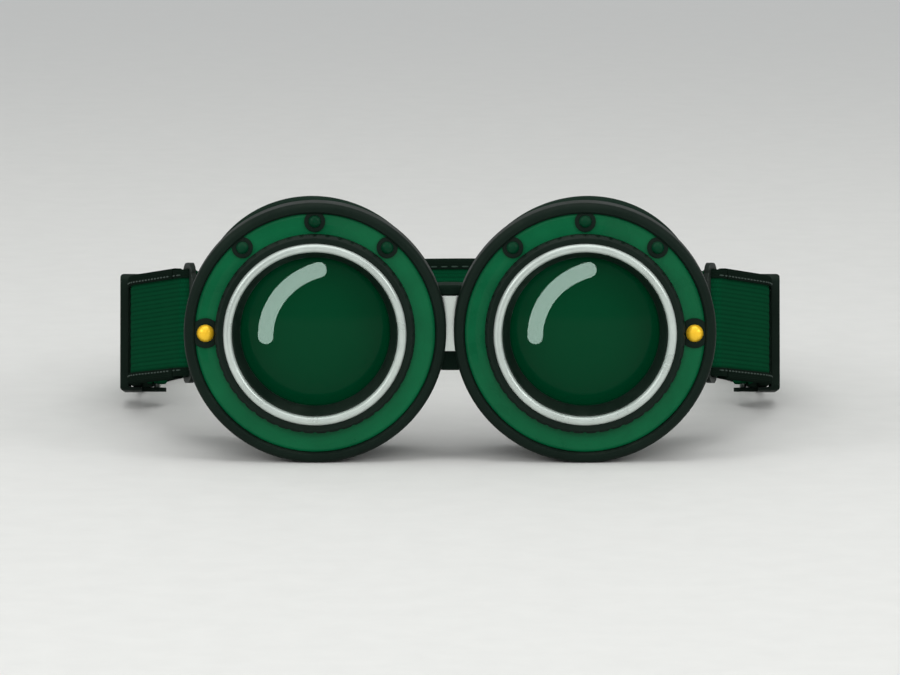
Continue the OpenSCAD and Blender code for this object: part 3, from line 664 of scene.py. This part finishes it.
for side in SIDES:
    piece = turned(f"{side}_enamel_frame", side, frame_outline(), 180, inner_thread)
    finish_piece(piece, "green_enamel", "goggle_frame", f"{side}_lens_frame")

# %% [markdown]
# ## Lens rings
# The black ring is gripped with two fingers, so its edge has 48 scoops. They are cut on the same grid as
# the turning: where a scoop's circle reaches into the rim, the radius shrinks to that circle.

# %% Lens rings
GROOVES, GROOVE_R, GROOVE_AT = 48, 0.7, 27.05
GRIP_SKIN, SKIRT_SKIN = 25.0, 25.7
SCOOP_END, SCOOP_FADE = -0.8, 0.25


def ring_outline():
    """Bevel, seat for the bezel, grip and threaded skirt, as (radius, depth)."""
    corners = [(20.0, 2.4, 0.1), (22.1, -3.4, 0.15), (22.1, -2.4, 0), (24.4, -2.4, 0), (24.4, -3.4, 0.15),
               (25.9, -3.4, 0.3), (26.7, -2.6, 0.35), (26.7, -0.1, 0.12), (26.05, -0.1, 0),
               (26.0, 4.2, 0.2), (21.2, 4.2, 0.1), (21.2, 3.6, 0), (20.0, 3.6, 0.15)]
    return denser(rounded(corners), 0.45)


def ring_cut(a, r, w):
    """Scoops in the grip, and the outer thread on the skirt."""
    offset = (a + np.pi / GROOVES) % (2 * np.pi / GROOVES) - np.pi / GROOVES
    aside = GROOVE_AT * np.sin(offset)
    reach = GROOVE_AT * np.cos(offset) - np.sqrt(np.clip(GROOVE_R ** 2 - aside ** 2, 0, None))
    scoop = np.where(np.abs(aside) < GROOVE_R, np.clip(r - reach, 0, None), 0)
    fade = np.clip((SCOOP_END - w) / SCOOP_FADE + 1, 0, 1)
    grip = np.where((r > GRIP_SKIN) & (w < 0), scoop * fade, 0)
    return grip + np.where((r > SKIRT_SKIN) & (w > 0), THREAD_DEPTH * thread(a, w, 0), 0)


for side in SIDES:
    piece = turned(f"{side}_grip_ring", side, ring_outline(), GROOVES * 12, ring_cut)
    finish_piece(piece, "black_metal", f"{side}_ring", f"{side}_lens_ring")

# %% [markdown]
# ## Bright bezels
# A half-round bright ring is pressed into the front of each lens ring. It is the brightest line on the
# goggles, so it has enough facets for a clean highlight.

# %% Bezels
BEZEL_R, BEZEL_HALF, BEZEL_W = 23.25, 1.15, -3.4


def bezel_outline():
    """A half circle towards the front on a short straight root, as (radius, depth)."""
    t = np.linspace(np.pi, 2 * np.pi, 26)
    arc = together(BEZEL_R + BEZEL_HALF * np.cos(t), BEZEL_W + BEZEL_HALF * np.sin(t))
    return np.vstack([[(24.4, -2.4), (22.1, -2.4)], arc])


for side in SIDES:
    piece = turned(f"{side}_bright_bezel", side, bezel_outline())
    finish_piece(piece, "bright_steel", f"{side}_ring", f"{side}_bezel")

# %% [markdown]
# ## Lenses
# The cover is a shallow dome with a flat rim, and the filter is a plain disc with ground edges. Both are
# closed solids, because glass bends light only where it has a way in and a way out.

# %% Lenses
DOME_EDGE, DOME_RISE, RIM_W, COVER_T = 21.5, 3.2, 5.0, 1.2
DOME_R = (DOME_EDGE ** 2 + DOME_RISE ** 2) / (2 * DOME_RISE)
DOME_BACK = RIM_W - DOME_RISE + DOME_R


def dome(radii, ball):
    """The front of a ball about the dome's centre, as (radius, depth)."""
    return together(radii, DOME_BACK - np.sqrt(ball ** 2 - radii ** 2))


def cover_outline():
    """Outside of the dome, rim, and inside of the dome, as (radius, depth)."""
    rim = rounded([(DOME_EDGE, RIM_W, 0), (25, RIM_W, 0.2), (25, 6.2, 0.2), (20.3, 6.2, 0.1)])[1:]
    outside = dome(np.linspace(0, DOME_EDGE, 40), DOME_R)
    return np.vstack([outside, rim, dome(np.linspace(20.3, 0, 36), DOME_R - COVER_T)])


FILTER_OUTLINE = rounded([(0, 6.25, 0), (25, 6.25, 0.3), (25, 9.2, 0.3), (0, 9.2, 0)])
for side in SIDES:
    cover = turned(f"{side}_cover_glass", side, cover_outline(), 160, angle=30)
    finish_piece(cover, "cover_glass", f"{side}_lens_pack", f"{side}_cover_lens", slot="filter_glass")
    dark = turned(f"{side}_filter_glass", side, FILTER_OUTLINE, 160, angle=30)
    finish_piece(dark, "filter_glass", f"{side}_lens_pack", f"{side}_filter_lens")
print("dome radius", round(DOME_R, 2), "mm")

# %% [markdown]
# ## Face cushions
# Each cushion is a closed ring of soft moulded rubber. Its section is drawn in at the foot, where it is
# glued to the cup, and crowned at the back, where it meets the face. The ring is an ellipse whose depth
# follows the face, taken here as an upright cylinder of 120 mm radius.

# %% Cushions
FACE_R, NOSE_DEPTH = 120.0, 24.0
CUSHION_X, CUSHION_Z, CUSHION_DROP = 29.0, 30.0, 1.0
CUSHION_HALF, CUSHION_DEEP, FOOT_HALF, GLUE = 4.0, 6.95, 3.1, 0.05
FOOT_IN, WELT, TUCK = (0.2, 0, 0.9), (0.42, 1.25, 0.42), (0.2, 2.1, 0.35)
CROWN_FROM, CROWN_OVER = 2.5, 4.5
CREASE_SIDE, CREASE_TOP, SWAY = 0.09, 0.06, 0.10
CUSHION_STEPS, SECTION_STEPS = 288, 44


def face_depth(x):
    """Depth of the face behind the flange at distance x from the nose: a circle's front."""
    return NOSE_DEPTH + FACE_R - np.sqrt(FACE_R ** 2 - x ** 2)


def hump(q, high, at, spread):
    """A bell curve of q about at."""
    return high * np.exp(-((q - at) / spread) ** 2)


def cushion(name, side):
    """Section (p, q): p = 4 cos t ^ 0.6, a fifth less at the foot, and q = 6.95 sin t ^ 0.75. A welt stands
    at the foot, and shallow creases cross it. x = X + (29 + p) cos a, z = Z - 1 + (30 + p) sin a."""
    t = np.linspace(0, np.pi, SECTION_STEPS)[None, :]
    a = np.linspace(0, 2 * np.pi, CUSHION_STEPS, endpoint=False)[:, None]
    q = CUSHION_DEEP * np.sin(t) ** 0.75
    way = np.sign(np.cos(t))
    p = CUSHION_HALF * squarish(np.cos(t), 0.6) * (1 - hump(q, *FOOT_IN))
    p = p + way * (hump(q, *WELT) - hump(q, *TUCK))
    crown = np.clip((q - CROWN_FROM) / CROWN_OVER, 0, 1)
    creases = np.sin(41 * a + 2.5 * np.sin(3 * a)) * 0.5 + np.sin(67 * a + 3 * np.sin(5 * a + 1)) * 0.5
    p = p - way * CREASE_SIDE * creases * crown * (1 - crown) * 4
    q = q - SWAY * np.sin(5 * a + 0.7) * crown - CREASE_TOP * creases * crown
    foot = np.linspace(-1, 1, 7)[1:-1] * FOOT_HALF + 0 * a
    p, q = np.concatenate([p, foot], 1), np.concatenate([q, 0 * foot], 1)
    x = LENS_X + (CUSHION_X + p) * np.cos(a)
    points = together(SIDES[side] * x, FLANGE_Y + face_depth(x) + GLUE + q,
                      LENS_Z - CUSHION_DROP + (CUSHION_Z + p) * np.sin(a))
    return grid_piece(name, points, angle=60)


for side in SIDES:
    piece = cushion(f"{side}_cushion", side)
    finish_piece(piece, "soft_rubber", "goggle_frame", f"{side}_face_cushion")

# %% [markdown]
# ## Nose saddle
# A rubber saddle fills the gap between the cups behind the bridge plate. It is wider above and below than
# in the middle, because it lies between two round walls, and its lower back leans away for the nose. Its
# lips close over the plate's upper and lower edges.

# %% Nose saddle
SADDLE_LOW, SADDLE_HIGH, CUP_WALL_R = -11.4, 11.6, 33.1
PLATE_LOW, PLATE_HIGH, LIP, LIP_GAP = -6.25, 8.75, 0.3, 0.02
SADDLE_FRONT, BEHIND_PLATE, SADDLE_BACK = 9.6, 10.85, 20.6
LEAN, LEAN_FROM, LEAN_BLEND = math.radians(35), 13.8, 1.4
SADDLE_ROUND, CROWN_H, CROWN_DROP = 1.1, 4.0, 3.6
RIB_PITCH, RIB_HIGH, RIB_ACROSS = 1.9, 0.12, 0.9
ACROSS_POWER, DEEP_POWER = 0.5, 0.35
END_SHRINK, END_NARROW, CROWN_REACH = 0.25, 0.45, 0.98


def saddle():
    """Half width = 36 less the cup's circle of radius 33.1. Front depth = 9.6, or 10.85 behind the plate.
    Back depth = 20.6, or a line leaning 35 degrees below, and less at the top. Ends shrink like a round."""
    edges = [PLATE_LOW - LIP, PLATE_LOW - LIP_GAP, PLATE_HIGH + LIP_GAP, PLATE_HIGH + LIP]
    t = np.linspace(-1, 1, 110)
    z = (SADDLE_LOW + SADDLE_HIGH) / 2 + (SADDLE_HIGH - SADDLE_LOW) / 2 * np.sin(t * np.pi / 2)
    z = np.unique(np.concatenate([z, edges]))[:, None]
    half = LENS_X - np.sqrt(CUP_WALL_R ** 2 - z ** 2)
    front = np.interp(z, edges, [SADDLE_FRONT, BEHIND_PLATE, BEHIND_PLATE, SADDLE_FRONT])
    lean = LEAN_FROM + (z - SADDLE_LOW) * math.tan(LEAN)
    back = SADDLE_BACK - np.log1p(np.exp((SADDLE_BACK - lean) * LEAN_BLEND)) / LEAN_BLEND
    crown = np.clip((z - (SADDLE_HIGH - CROWN_H)) / CROWN_H, 0, 1)
    back = back - CROWN_DROP * (1 - np.sqrt(1 - (CROWN_REACH * crown) ** 2))
    near = np.clip(np.minimum(SADDLE_HIGH - z, z - SADDLE_LOW) / SADDLE_ROUND, 0, 1)
    round_end = np.sqrt(np.clip(1 - (1 - near) ** 2, 0.0004, 1))
    shrink = END_SHRINK * (1 - round_end)
    depth = (back - front) * (1 - shrink)
    s = np.linspace(0, 2 * np.pi, 72, endpoint=False)
    across, deep = squarish(np.cos(s), ACROSS_POWER), squarish(np.sin(s), DEEP_POWER)
    ribs = RIB_HIGH * np.sin(2 * np.pi * z / RIB_PITCH) * np.clip(deep, 0, 1) * (np.abs(across) < RIB_ACROSS)
    x = half * across * (END_NARROW + (1 - END_NARROW) * round_end)
    y = front + SADDLE_ROUND * shrink + depth / 2 + depth / 2 * deep + ribs
    points = together(x, FLANGE_Y + y, LENS_Z + z)
    return grid_piece("nose_saddle", points, close_rows=False, angle=50)


piece = saddle()
finish_piece(piece, "soft_rubber", "goggle_frame", "nose_pad")

# %% [markdown]
# ## The strap's route
# From each lug the elastic runs back and outwards, turns to run straight through its slide, and then
# closes round the back in two arcs. It hangs from the pivots by ten degrees and settles on the floor
# behind. The route is a line in a plane first, made of straight runs and arcs, and is then hung.

# %% Route helpers
HANG, SPLAY = math.radians(10), math.radians(18)
HALF_W, TURN_R, CORNER_R, RUN = 88.0, 60.0, 60.0, 38.0
CORNER_TURN = math.radians(55)
FOLD, FOLD_R, FOLD_END = np.array([71.0048, 13.9399]), 1.9, 4.0
SIDE_RUN = (HALF_W - FOLD[0] - FOLD_R * math.cos(SPLAY) - TURN_R * (1 - math.cos(SPLAY))) / math.sin(SPLAY)
BAND_T, STRAP_W = 1.8, 30.0


def across(h):
    """Unit vector to the outside of a line that heads h from +y towards +x."""
    return together(np.cos(h), -np.sin(h))


def along(h):
    """Unit vector in the direction h from +y towards +x."""
    return together(np.sin(h), np.cos(h))


def straight(start, h, length, step=1.2):
    """Points and headings of a straight run, without its last point."""
    s = np.linspace(0, length, max(2, round(length / step)), endpoint=False)
    return start + s[:, None] * along(h), np.full(len(s), h)


def bend(centre, radius, h0, h1, step=1.2):
    """Points and headings of an arc, without its last point: centre + radius * across(heading)."""
    h = np.linspace(h0, h1, max(4, round(abs(h1 - h0) * radius / step)), endpoint=False)
    return centre + radius * across(h), h


FOLD_IN, FOLD_OUT = FOLD - FOLD_R * across(SPLAY), FOLD + FOLD_R * across(SPLAY)
RUN_Y = float((FOLD_OUT + SIDE_RUN * along(SPLAY) - TURN_R * across(SPLAY))[1])
TURN_C = np.array([HALF_W - TURN_R, RUN_Y])
FRONT_L = RUN_Y + RUN
CORNER_Y = PIVOT_W + FRONT_L * math.cos(HANG)
CORNER_Z = PIVOT_UP - FRONT_L * math.sin(HANG)
EASE = 2 * (CORNER_Z - (STRAP_W / 2 - LENS_Z)) / math.tan(HANG)


def tilted(h, c, s):
    """Directions across and up a strap that heads h on a slope with cosine c and sine s."""
    return together(np.cos(h), -np.sin(h) * c, np.sin(h) * s), together(0 * h, s, c)


def hung(points, h):
    """Frames (place, across, up) of the part that hangs in a plane tilted by HANG about the pivots."""
    c, s = math.cos(HANG), math.sin(HANG)
    place = together(points[:, 0], PIVOT_W + points[:, 1] * c, PIVOT_UP - points[:, 1] * s)
    return place, *tilted(h, c, s)


def settled(points, h):
    """Frames of the rear part: the slope eases from HANG to level over the distance EASE."""
    t = np.clip((points[:, 1] - CORNER_Y) / EASE, 0, 1)
    z = CORNER_Z - math.tan(HANG) * EASE * (t - t ** 2 / 2)
    b = np.arctan(math.tan(HANG) * (1 - t))
    return together(*points.T, z), *tilted(h, np.cos(b), np.sin(b))


def joined(*runs):
    """Joins runs end to end. Each is a tuple of arrays, such as points and headings, or frames."""
    return tuple(np.concatenate(parts) for parts in zip(*runs))


def mirrored(run, sign):
    """A run of places and directions, in mirror image where sign is -1."""
    return tuple(part * np.array([sign, 1, 1]) for part in run)


print(f"side run {SIDE_RUN:.1f} mm, corner at depth {CORNER_Y:.1f} mm")

# %% [markdown]
# The loop is one half and its mirror image. Each frame has a place, a direction across the strap and one
# up it, and the distance run so far, which becomes the cloth's u. The tapes start only behind the lugs,
# because the fold round a lug's bar has no room for them.

# %% The loop
WAVES_FROM, WAVES_FADE = 140, 30
WAVES = ((0.3, 9.5, 1.1), (0.2, 4.7, 0.0))


def half_loop(folded):
    """Frames of the right half: fold round the lug's bar where folded, side run, turn, straight run,
    corner and half the back. Without the fold it starts FOLD_END behind the bar."""
    begin = 0.0 if folded else FOLD_END
    front = [straight(FOLD_OUT + begin * along(SPLAY), SPLAY, SIDE_RUN - begin),
             bend(TURN_C, TURN_R, SPLAY, 0.0), straight(np.array([HALF_W, RUN_Y]), 0.0, RUN)]
    if folded:
        front = [straight(FOLD_IN + FOLD_END * along(SPLAY), SPLAY + math.pi, FOLD_END, 0.5),
                 bend(FOLD, FOLD_R, SPLAY + math.pi, SPLAY, 0.4)] + front
    end_x = HALF_W - CORNER_R * (1 - math.cos(CORNER_TURN))
    back_r = end_x / math.cos(CORNER_TURN)
    back_c = CORNER_Y + CORNER_R * math.sin(CORNER_TURN) - back_r * math.sin(CORNER_TURN)
    rear = joined(bend(np.array([HALF_W - CORNER_R, CORNER_Y]), CORNER_R, 0.0, -CORNER_TURN),
                  bend(np.array([0.0, back_c]), back_r, -CORNER_TURN, -math.pi / 2),
                  (np.array([[0.0, back_c + back_r]]), np.array([-math.pi / 2])))
    return joined(hung(*joined(*front)), settled(*rear))


def whole_loop(folded):
    """The half and its mirror image in reverse, without doubling the middle. The rear wanders across in two
    waves (height, length, phase), as elastic that lies slack does."""
    half = half_loop(folded)
    place, side_way, up = joined(half, tuple(part[-2::-1] for part in mirrored(half, -1)))
    far = np.clip((place[:, 1] - WAVES_FROM) / WAVES_FADE, 0, 1)[:, None]
    wander = sum(high * np.sin(place[:, 0] / length + phase) for high, length, phase in WAVES)
    return place + side_way * wander[:, None] * far, side_way, up


def carried(name, frames, section, angle=50):
    """Sweeps a section along frames: point = place + t across + v up. The section is a closed outline (t, v)
    and the cloth's v round it, with the first point again at the end. The cloth's u is the distance run."""
    place, side_way, up = frames
    outline, cloth_v = section
    t, v = outline[:, 0][None, :, None], outline[:, 1][None, :, None]
    points = place[:, None] + t * side_way[:, None] + v * up[:, None] + MIDDLE
    uv = together(run_length(place)[:, None], cloth_v)
    return grid_piece(name, points, close_rows=False, uv=uv, angle=angle)


loop = whole_loop(True)
print(f"loop {run_length(loop[0])[-1]:.0f} mm long, {len(loop[0])} stations")

# %% [markdown]
# ## Elastic band
# The band's section is twelve rounded ribs on each face, where the rubber cords run. The ribs are real
# geometry, so they show at the edges and in raking light, and the finer yarns are left to the weave.

# %% Band section
GROOVE_DEEP, EDGE_ROUND = 0.16, 0.5


def band_section(per_rib=6):
    """Outer face going down, then inner face going up. Half the thickness is 0.9 less a groove of 0.16
    between ribs, and falls to 0.55 of that at the edges."""
    v = np.linspace(BAND_H / 2, -BAND_H / 2, CORDS * per_rib + 1)
    rib = squarish(np.abs(np.sin(np.pi * (v + BAND_H / 2) / (BAND_H / CORDS))), 0.6)
    edge = np.clip((BAND_H / 2 - np.abs(v)) / EDGE_ROUND, 0, 1)
    half = (BAND_T / 2 - GROOVE_DEEP * (1 - rib)) * (0.55 + 0.45 * np.sqrt(edge))
    section = np.concatenate([together(half, v), together(-half, v)[::-1]])
    return section, np.concatenate([v, v[::-1], v[:1]]) + BAND_H / 2


finish_piece(carried("elastic_band", loop, band_section()), "green_elastic", "head_strap", "strap_band")

# %% [markdown]
# ## Binding tape
# A dark woven tape is folded over each edge of the band and sewn down. Its section is a hairpin with a
# round outside and a slot for the band. Round each lug's bar only the tape's outer leaf goes on, because
# the lug's slot has no room for more.

# %% Bindings
TAPE_OUT, TAPE_IN, TAPE_LOW = 1.58, 0.95, STRAP_W / 2 - 2.9
EDGES = {"top": 1, "bottom": -1}
LEAF_TURN = 2.0


def tape_section(corners, way):
    """Rounded corners of a section, turned over where way is -1, and the distance round it."""
    ring = rounded(corners, 7)
    return ring * np.array([1, way]), run_length(np.vstack([ring, ring[:1]]))


def hairpin(way):
    """The whole tape: a hairpin open towards the band, with a round top."""
    out, inside, low, top, lid = TAPE_OUT, TAPE_IN, TAPE_LOW, STRAP_W / 2, BAND_H / 2 + 0.05
    return tape_section([(-out, low, 0.25), (-inside, low, 0.12), (-inside, lid, 0), (inside, lid, 0),
                         (inside, low, 0.12), (out, low, 0.25), (out, top, 0.85), (-out, top, 0.85)], way)


def leaf(way):
    """The tape's outer leaf alone, thin and low enough for the lug's slot."""
    out, inside, low, top = TAPE_OUT - 0.13, TAPE_IN - 0.02, TAPE_LOW, BAND_H / 2 + 0.15
    return tape_section([(inside, low, 0.12), (out, low, 0.2), (out, top, 0.2), (inside, top, 0.12)], way)


bound = whole_loop(False)
leaf_run = hung(*joined(bend(FOLD, FOLD_R, SPLAY + LEAF_TURN, SPLAY, 0.3),
                        straight(FOLD_OUT, SPLAY, FOLD_END + 0.3, 0.8)))
leaf_runs = {side: mirrored(leaf_run, sign) for side, sign in SIDES.items()}
for edge, way in EDGES.items():
    piece = carried(f"{edge}_binding_tape", bound, hairpin(way), 60)
    finish_piece(piece, "binding_tape", "head_strap", f"strap_{edge}_binding")
for side, run in leaf_runs.items():
    for edge, way in EDGES.items():
        piece = carried(f"{side}_{edge}_tape_leaf", run, leaf(way), 60)
        finish_piece(piece, "binding_tape", "head_strap")

# %% [markdown]
# ## Strap tails
# The elastic goes on from each lug as a second layer, back to the slide, round its bar, and is sewn to itself. A
# tail belongs to the strap at one end and to the slide at the other, so it is attached to neither body and keeps
# its place in the scene.

# %% Tails
ADJUSTER_Y = RUN_Y + RUN / 2
BAR = np.array([HALF_W - 5.7, ADJUSTER_Y])
TAIL_R, LAYER_GAP, TAIL_GAP = 1.9, 3.8, 0.1
FLAP_L, FLAP_STEPS, FLAP_GAP = 8, 16, 0.08


def tail_frames():
    """Side run from the lug, turn, straight run to the bar, half turn round it, and a short run back."""
    q = np.linspace(0, 1, FLAP_STEPS)
    ease = q * q * (3 - 2 * q)
    back_x = BAR[0] - TAIL_R + ease * (2 * TAIL_R - BAND_T - FLAP_GAP)
    flap = (together(back_x, BAR[1] - FLAP_L * q), np.full(FLAP_STEPS, -math.pi))
    start = FOLD_IN + (FOLD_END + TAIL_GAP) * along(SPLAY)
    return hung(*joined(straight(start, SPLAY, SIDE_RUN - FOLD_END - TAIL_GAP),
                        bend(TURN_C, TURN_R - LAYER_GAP, SPLAY, 0.0),
                        straight(np.array([HALF_W - LAYER_GAP, RUN_Y]), 0.0, RUN / 2),
                        bend(BAR, TAIL_R, 0.0, -math.pi, 0.35), flap))


tail = tail_frames()
for side, sign in SIDES.items():
    piece = carried(f"{side}_elastic_tail", mirrored(tail, sign), band_section(4))
    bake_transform(piece)
    finish_piece(piece, "green_elastic", None, f"{side}_strap_tail")

# %% [markdown]
# ## Stitching
# One row of stitches holds each binding on both faces, and a box of stitches closes each tail. A stitch
# is a short six-sided bead with tapered ends. All the stitches of a row are placed at once: a small grid
# of points is multiplied by every stitch's own three directions.

# %% Stitches
STITCH_T, STITCH_L, STITCH_PITCH, STITCH_FLAT, AHEAD = 0.42, 2.2, 3.1, 0.8, 0.4
SEAM_V, SEAM_T, LEAF_SEAM_T = STRAP_W / 2 - 2.15, 1.62, 1.49
SEAM_FROM, SEAM_SHORT, LEAF_SEAM = 1.5, 2.5, (3.1, 7.0)


def beads(name, place, lengthwise, outwards, length):
    """One mesh of stitches: point = place + l lengthwise + r (cos s sideways + sin s outwards), r tapered."""
    ring = np.array([-0.5, -0.42, -0.2, 0.2, 0.42, 0.5])[:, None] * length
    swell = np.array([0.15, 0.75, 1.0, 1.0, 0.75, 0.15])[:, None] * STITCH_T / 2
    sag = np.array([-0.9, -0.35, 0.0, 0.0, -0.35, -0.9])[:, None] * STITCH_T / 2
    s = np.linspace(0, 2 * np.pi, 6, endpoint=False)
    local = together(ring, swell * np.cos(s), swell * np.sin(s) * STITCH_FLAT + sag).reshape(-1, 3)
    ways = np.stack([lengthwise, np.cross(lengthwise, outwards), outwards], 1)
    points = (place[:, None] + np.einsum("kc,ncd->nkd", local, ways)).reshape(-1, 3)
    caps = np.array([[0, 1, 2, 3, 4, 5], [35, 34, 33, 32, 31, 30]])
    shift = (np.arange(len(place)) * len(local))[:, None, None]
    faces = (grid_faces(6, 6, False, True) + shift).reshape(-1, 4)
    return mesh_from(name, points, faces, (caps + shift).reshape(-1, 6), angle=80)


def at_length(frames, wanted):
    """Place, across, up and direction of travel at the wanted distances along frames."""
    s = run_length(frames[0])
    place, side_way, up = (between(wanted, s, part) for part in frames)
    return place, side_way, up, unit(between(wanted + AHEAD, s, frames[0]) - place)


def seam(frames, v, t, first, last):
    """Stitches along the strap at height v, on the face at t: place, direction and outward direction."""
    place, side_way, up, travel = at_length(frames, np.arange(first, last, STITCH_PITCH))
    return place + v * up + t * side_way + MIDDLE, travel, side_way * np.sign(t)


bound_length = run_length(bound[0])[-1]
for edge, way in EDGES.items():
    rows = [seam(bound, way * SEAM_V, t, SEAM_FROM, bound_length - SEAM_SHORT) for t in (SEAM_T, -SEAM_T)]
    rows += [seam(run, way * SEAM_V, LEAF_SEAM_T, *LEAF_SEAM) for run in leaf_runs.values()]
    piece = beads(f"{edge}_stitching", *joined(*rows), STITCH_L)
    finish_piece(piece, "sewing_thread", "head_strap", slot="binding_tape")

# %% [markdown]
# The tail's flap is sewn through with two bars of close stitches, and the slide carries them.

# %% Tail stitches
BARS, BAR_STITCHES, BAR_MARGIN, BAR_STITCH_L, FLAP_T = (1.6, 5.2), 14, 2.5, 1.5, 0.93
tail_length = run_length(tail[0])[-1]
rows = []
for inset in BARS:
    place, side_way, up, travel = at_length(tail, np.array([tail_length - inset]))
    v = np.linspace(-BAND_H / 2 + BAR_MARGIN, BAND_H / 2 - BAR_MARGIN, BAR_STITCHES)[:, None]
    spots = place + v * up + FLAP_T * side_way + MIDDLE
    rows.append(np.broadcast_arrays(spots, up, side_way))
for side, sign in SIDES.items():
    piece = beads(f"{side}_tail_stitching", *mirrored(joined(*rows), sign), BAR_STITCH_L)
    finish_piece(piece, "sewing_thread", f"{side}_slide", slot="binding_tape")

# %% [markdown]
# ## Light
# Product light is large and soft: a broad lamp above and in front, a weaker one on each side, and a pale
# room that fills the shadows.

# %% Lamps and room
ROOM_TONE = (0.5, 0.51, 0.51, 1)
LIT_PLACE = Vector((0, 0, 0.03))


def area_lamp(name, place, width, height, power, shown=True):
    """A rectangular lamp at place that faces the goggles, in metres and watts."""
    data = bpy.data.lights.new(name, "AREA")
    data.shape, data.size, data.size_y, data.energy = "RECTANGLE", width, height, power
    lamp = looking(name, data, place, LIT_PLACE - Vector(place))
    lamp.visible_camera = lamp.visible_transmission = False
    lamp.visible_glossy = shown


area_lamp("top_lamp", (0, -0.4, 1.5), 1.6, 1.2, 9)
area_lamp("front_lamp", (0, -2.4, 1.1), 1.6, 1.0, 20, shown=False)
area_lamp("left_lamp", (-1.4, -1.1, 0.9), 0.9, 0.9, 7)
area_lamp("right_lamp", (1.4, -1.1, 0.9), 0.9, 0.9, 7)
world = bpy.data.worlds.new("room")
world.use_nodes = True
world.node_tree.nodes["Background"].inputs["Color"].default_value = ROOM_TONE
bpy.context.scene.world = world
bpy.context.scene.view_settings.view_transform = "Standard"
print("lamps:", len(bpy.data.lights))

# %% [markdown]
# A small curved lamp stands before each dome and shows in it as a single stroke. Its place is worked out
# backwards: a line of sight that meets the dome at a wanted point is reflected there, and the lamp lies
# along the reflected line. Each one is linked to its own dome alone, so it lights nothing else.

# %% Stroke lamps
STROKE = np.array([(-13.25, -1.37), (-12.4, 4.14), (-9.69, 9.36), (-5.11, 13.71), (1.05, 16.49)])
STROKE_WIDTH, STROKE_AWAY, STROKE_RADIANCE = 4.1, 35.0, 68.0


def stroke_edges(points, width, count=161):
    """Both edges of a round-ended stroke: the spine is a polynomial of the distance run, drawn out by half
    the width at both ends, and the half width falls there as a circle's."""
    s = run_length(points)
    at = np.linspace(-width / 2, s[-1] + width / 2, count)
    inside = np.clip(at, 0, s[-1])
    fit = [np.polyfit(s, points[:, k], len(points) - 1) for k in (0, 1)]
    ahead = unit(together(*(np.polyval(np.polyder(f), inside) for f in fit)))
    spine = together(*(np.polyval(f, inside) for f in fit)) + ahead * (at - inside)[:, None]
    half = np.sqrt(np.clip((width / 2) ** 2 - (at - inside) ** 2, 0.001, None))[:, None]
    left = together(-ahead[:, 1], ahead[:, 0])
    return np.stack([spine - left * half, spine + left * half], 1)


def reflected(spots, side):
    """Where the sight line d to each spot of the dome goes after it: d - 2 (d . n) n, run out to the lamp."""
    depth = np.sqrt(DOME_R ** 2 - (spots ** 2).sum(-1))
    n = together(spots[..., 0], -depth, spots[..., 1]) / DOME_R
    place = np.array([SIDES[side] * LENS_X, FLANGE_Y + DOME_BACK, LENS_Z]) + n * DOME_R
    sight = unit(place - np.array(camera.location) / MM)
    return place + (sight - 2 * (sight * n).sum(-1, keepdims=True) * n) * STROKE_AWAY


blank_material("stroke_glow", "Emission", Color=(0.75, 1.0, 0.89, 1), Strength=STROKE_RADIANCE)
for side in SIDES:
    points = reflected(stroke_edges(STROKE, STROKE_WIDTH), side)
    mesh = new_mesh(f"{side}_stroke_lamp", points, grid_faces(len(points), 2, False, False).tolist())
    mesh.materials.append(MATERIAL["stroke_glow"])
    stroke = placed(mesh.name, mesh)
    lit = bpy.data.collections.new(f"{side}_dome")
    lit.objects.link(bpy.data.objects[f"{side}_cover_glass"])
    stroke.light_linking.receiver_collection = lit
    stroke.visible_camera = stroke.visible_diffuse = False
    stroke.visible_transmission = stroke.visible_shadow = False
    print(mesh.name, "lowest point", round(points[..., 2].min(), 1), "mm above the floor")

# %% [markdown]
# ## Floor
# A plain pale disc, large enough that its edge is never seen, with a trace of unevenness. Round the
# goggles it is lit paint and takes their shadow. Further out, what is seen of it fades to the tone of the
# room, directly and in metal and glass, so no horizon crosses the picture or the lenses.

# %% Floor
FLOOR_R, FLOOR_POINTS = 8000, 128
FADE_FROM, FADE_OVER = 0.3, 1.5
PALE = (0.74, 0.74, 0.72, 1)


def floor_paint():
    """Pale paint that fades to the room's tone over FADE_OVER metres, from FADE_FROM metres off."""
    tree = hard_finish("floor_paint", PALE, PALE, (0.7, 0.8), 0.0, tone=0.02, dust=0.0)
    place = new_node(tree, "TexCoord")
    away = new_node(tree, "VectorMath", operation="LENGTH", Vector=place.outputs["Object"])
    fade = new_node(tree, "MapRange", interpolation_type="SMOOTHSTEP", Value=away.outputs["Value"],
                    From_Min=FADE_FROM, From_Max=FADE_FROM + FADE_OVER)
    ray = new_node(tree, "LightPath").outputs
    in_metal = maths(tree, "ADD", ray["Is Glossy Ray"], ray["Is Transmission Ray"])
    seen = maths(tree, "ADD", in_metal, ray["Is Camera Ray"], clamp=True)
    room = new_node(tree, "Emission", Color=ROOM_TONE)
    mixed = new_node(tree, "MixShader", times(tree, fade.outputs["Result"], seen),
                     tree.nodes["Principled BSDF"].outputs[0], room.outputs[0])
    feed(tree, tree.nodes["Material Output"].inputs["Surface"], mixed.outputs[0])


floor_paint()
around = np.linspace(0, 2 * np.pi, FLOOR_POINTS, endpoint=False)
floor_points = together(FLOOR_R * np.cos(around), FLOOR_R * np.sin(around), 0)
floor = placed("floor", new_mesh("floor", floor_points, [list(range(FLOOR_POINTS))]))
floor.data.materials.append(MATERIAL["floor_paint"])
print("floor is ready")
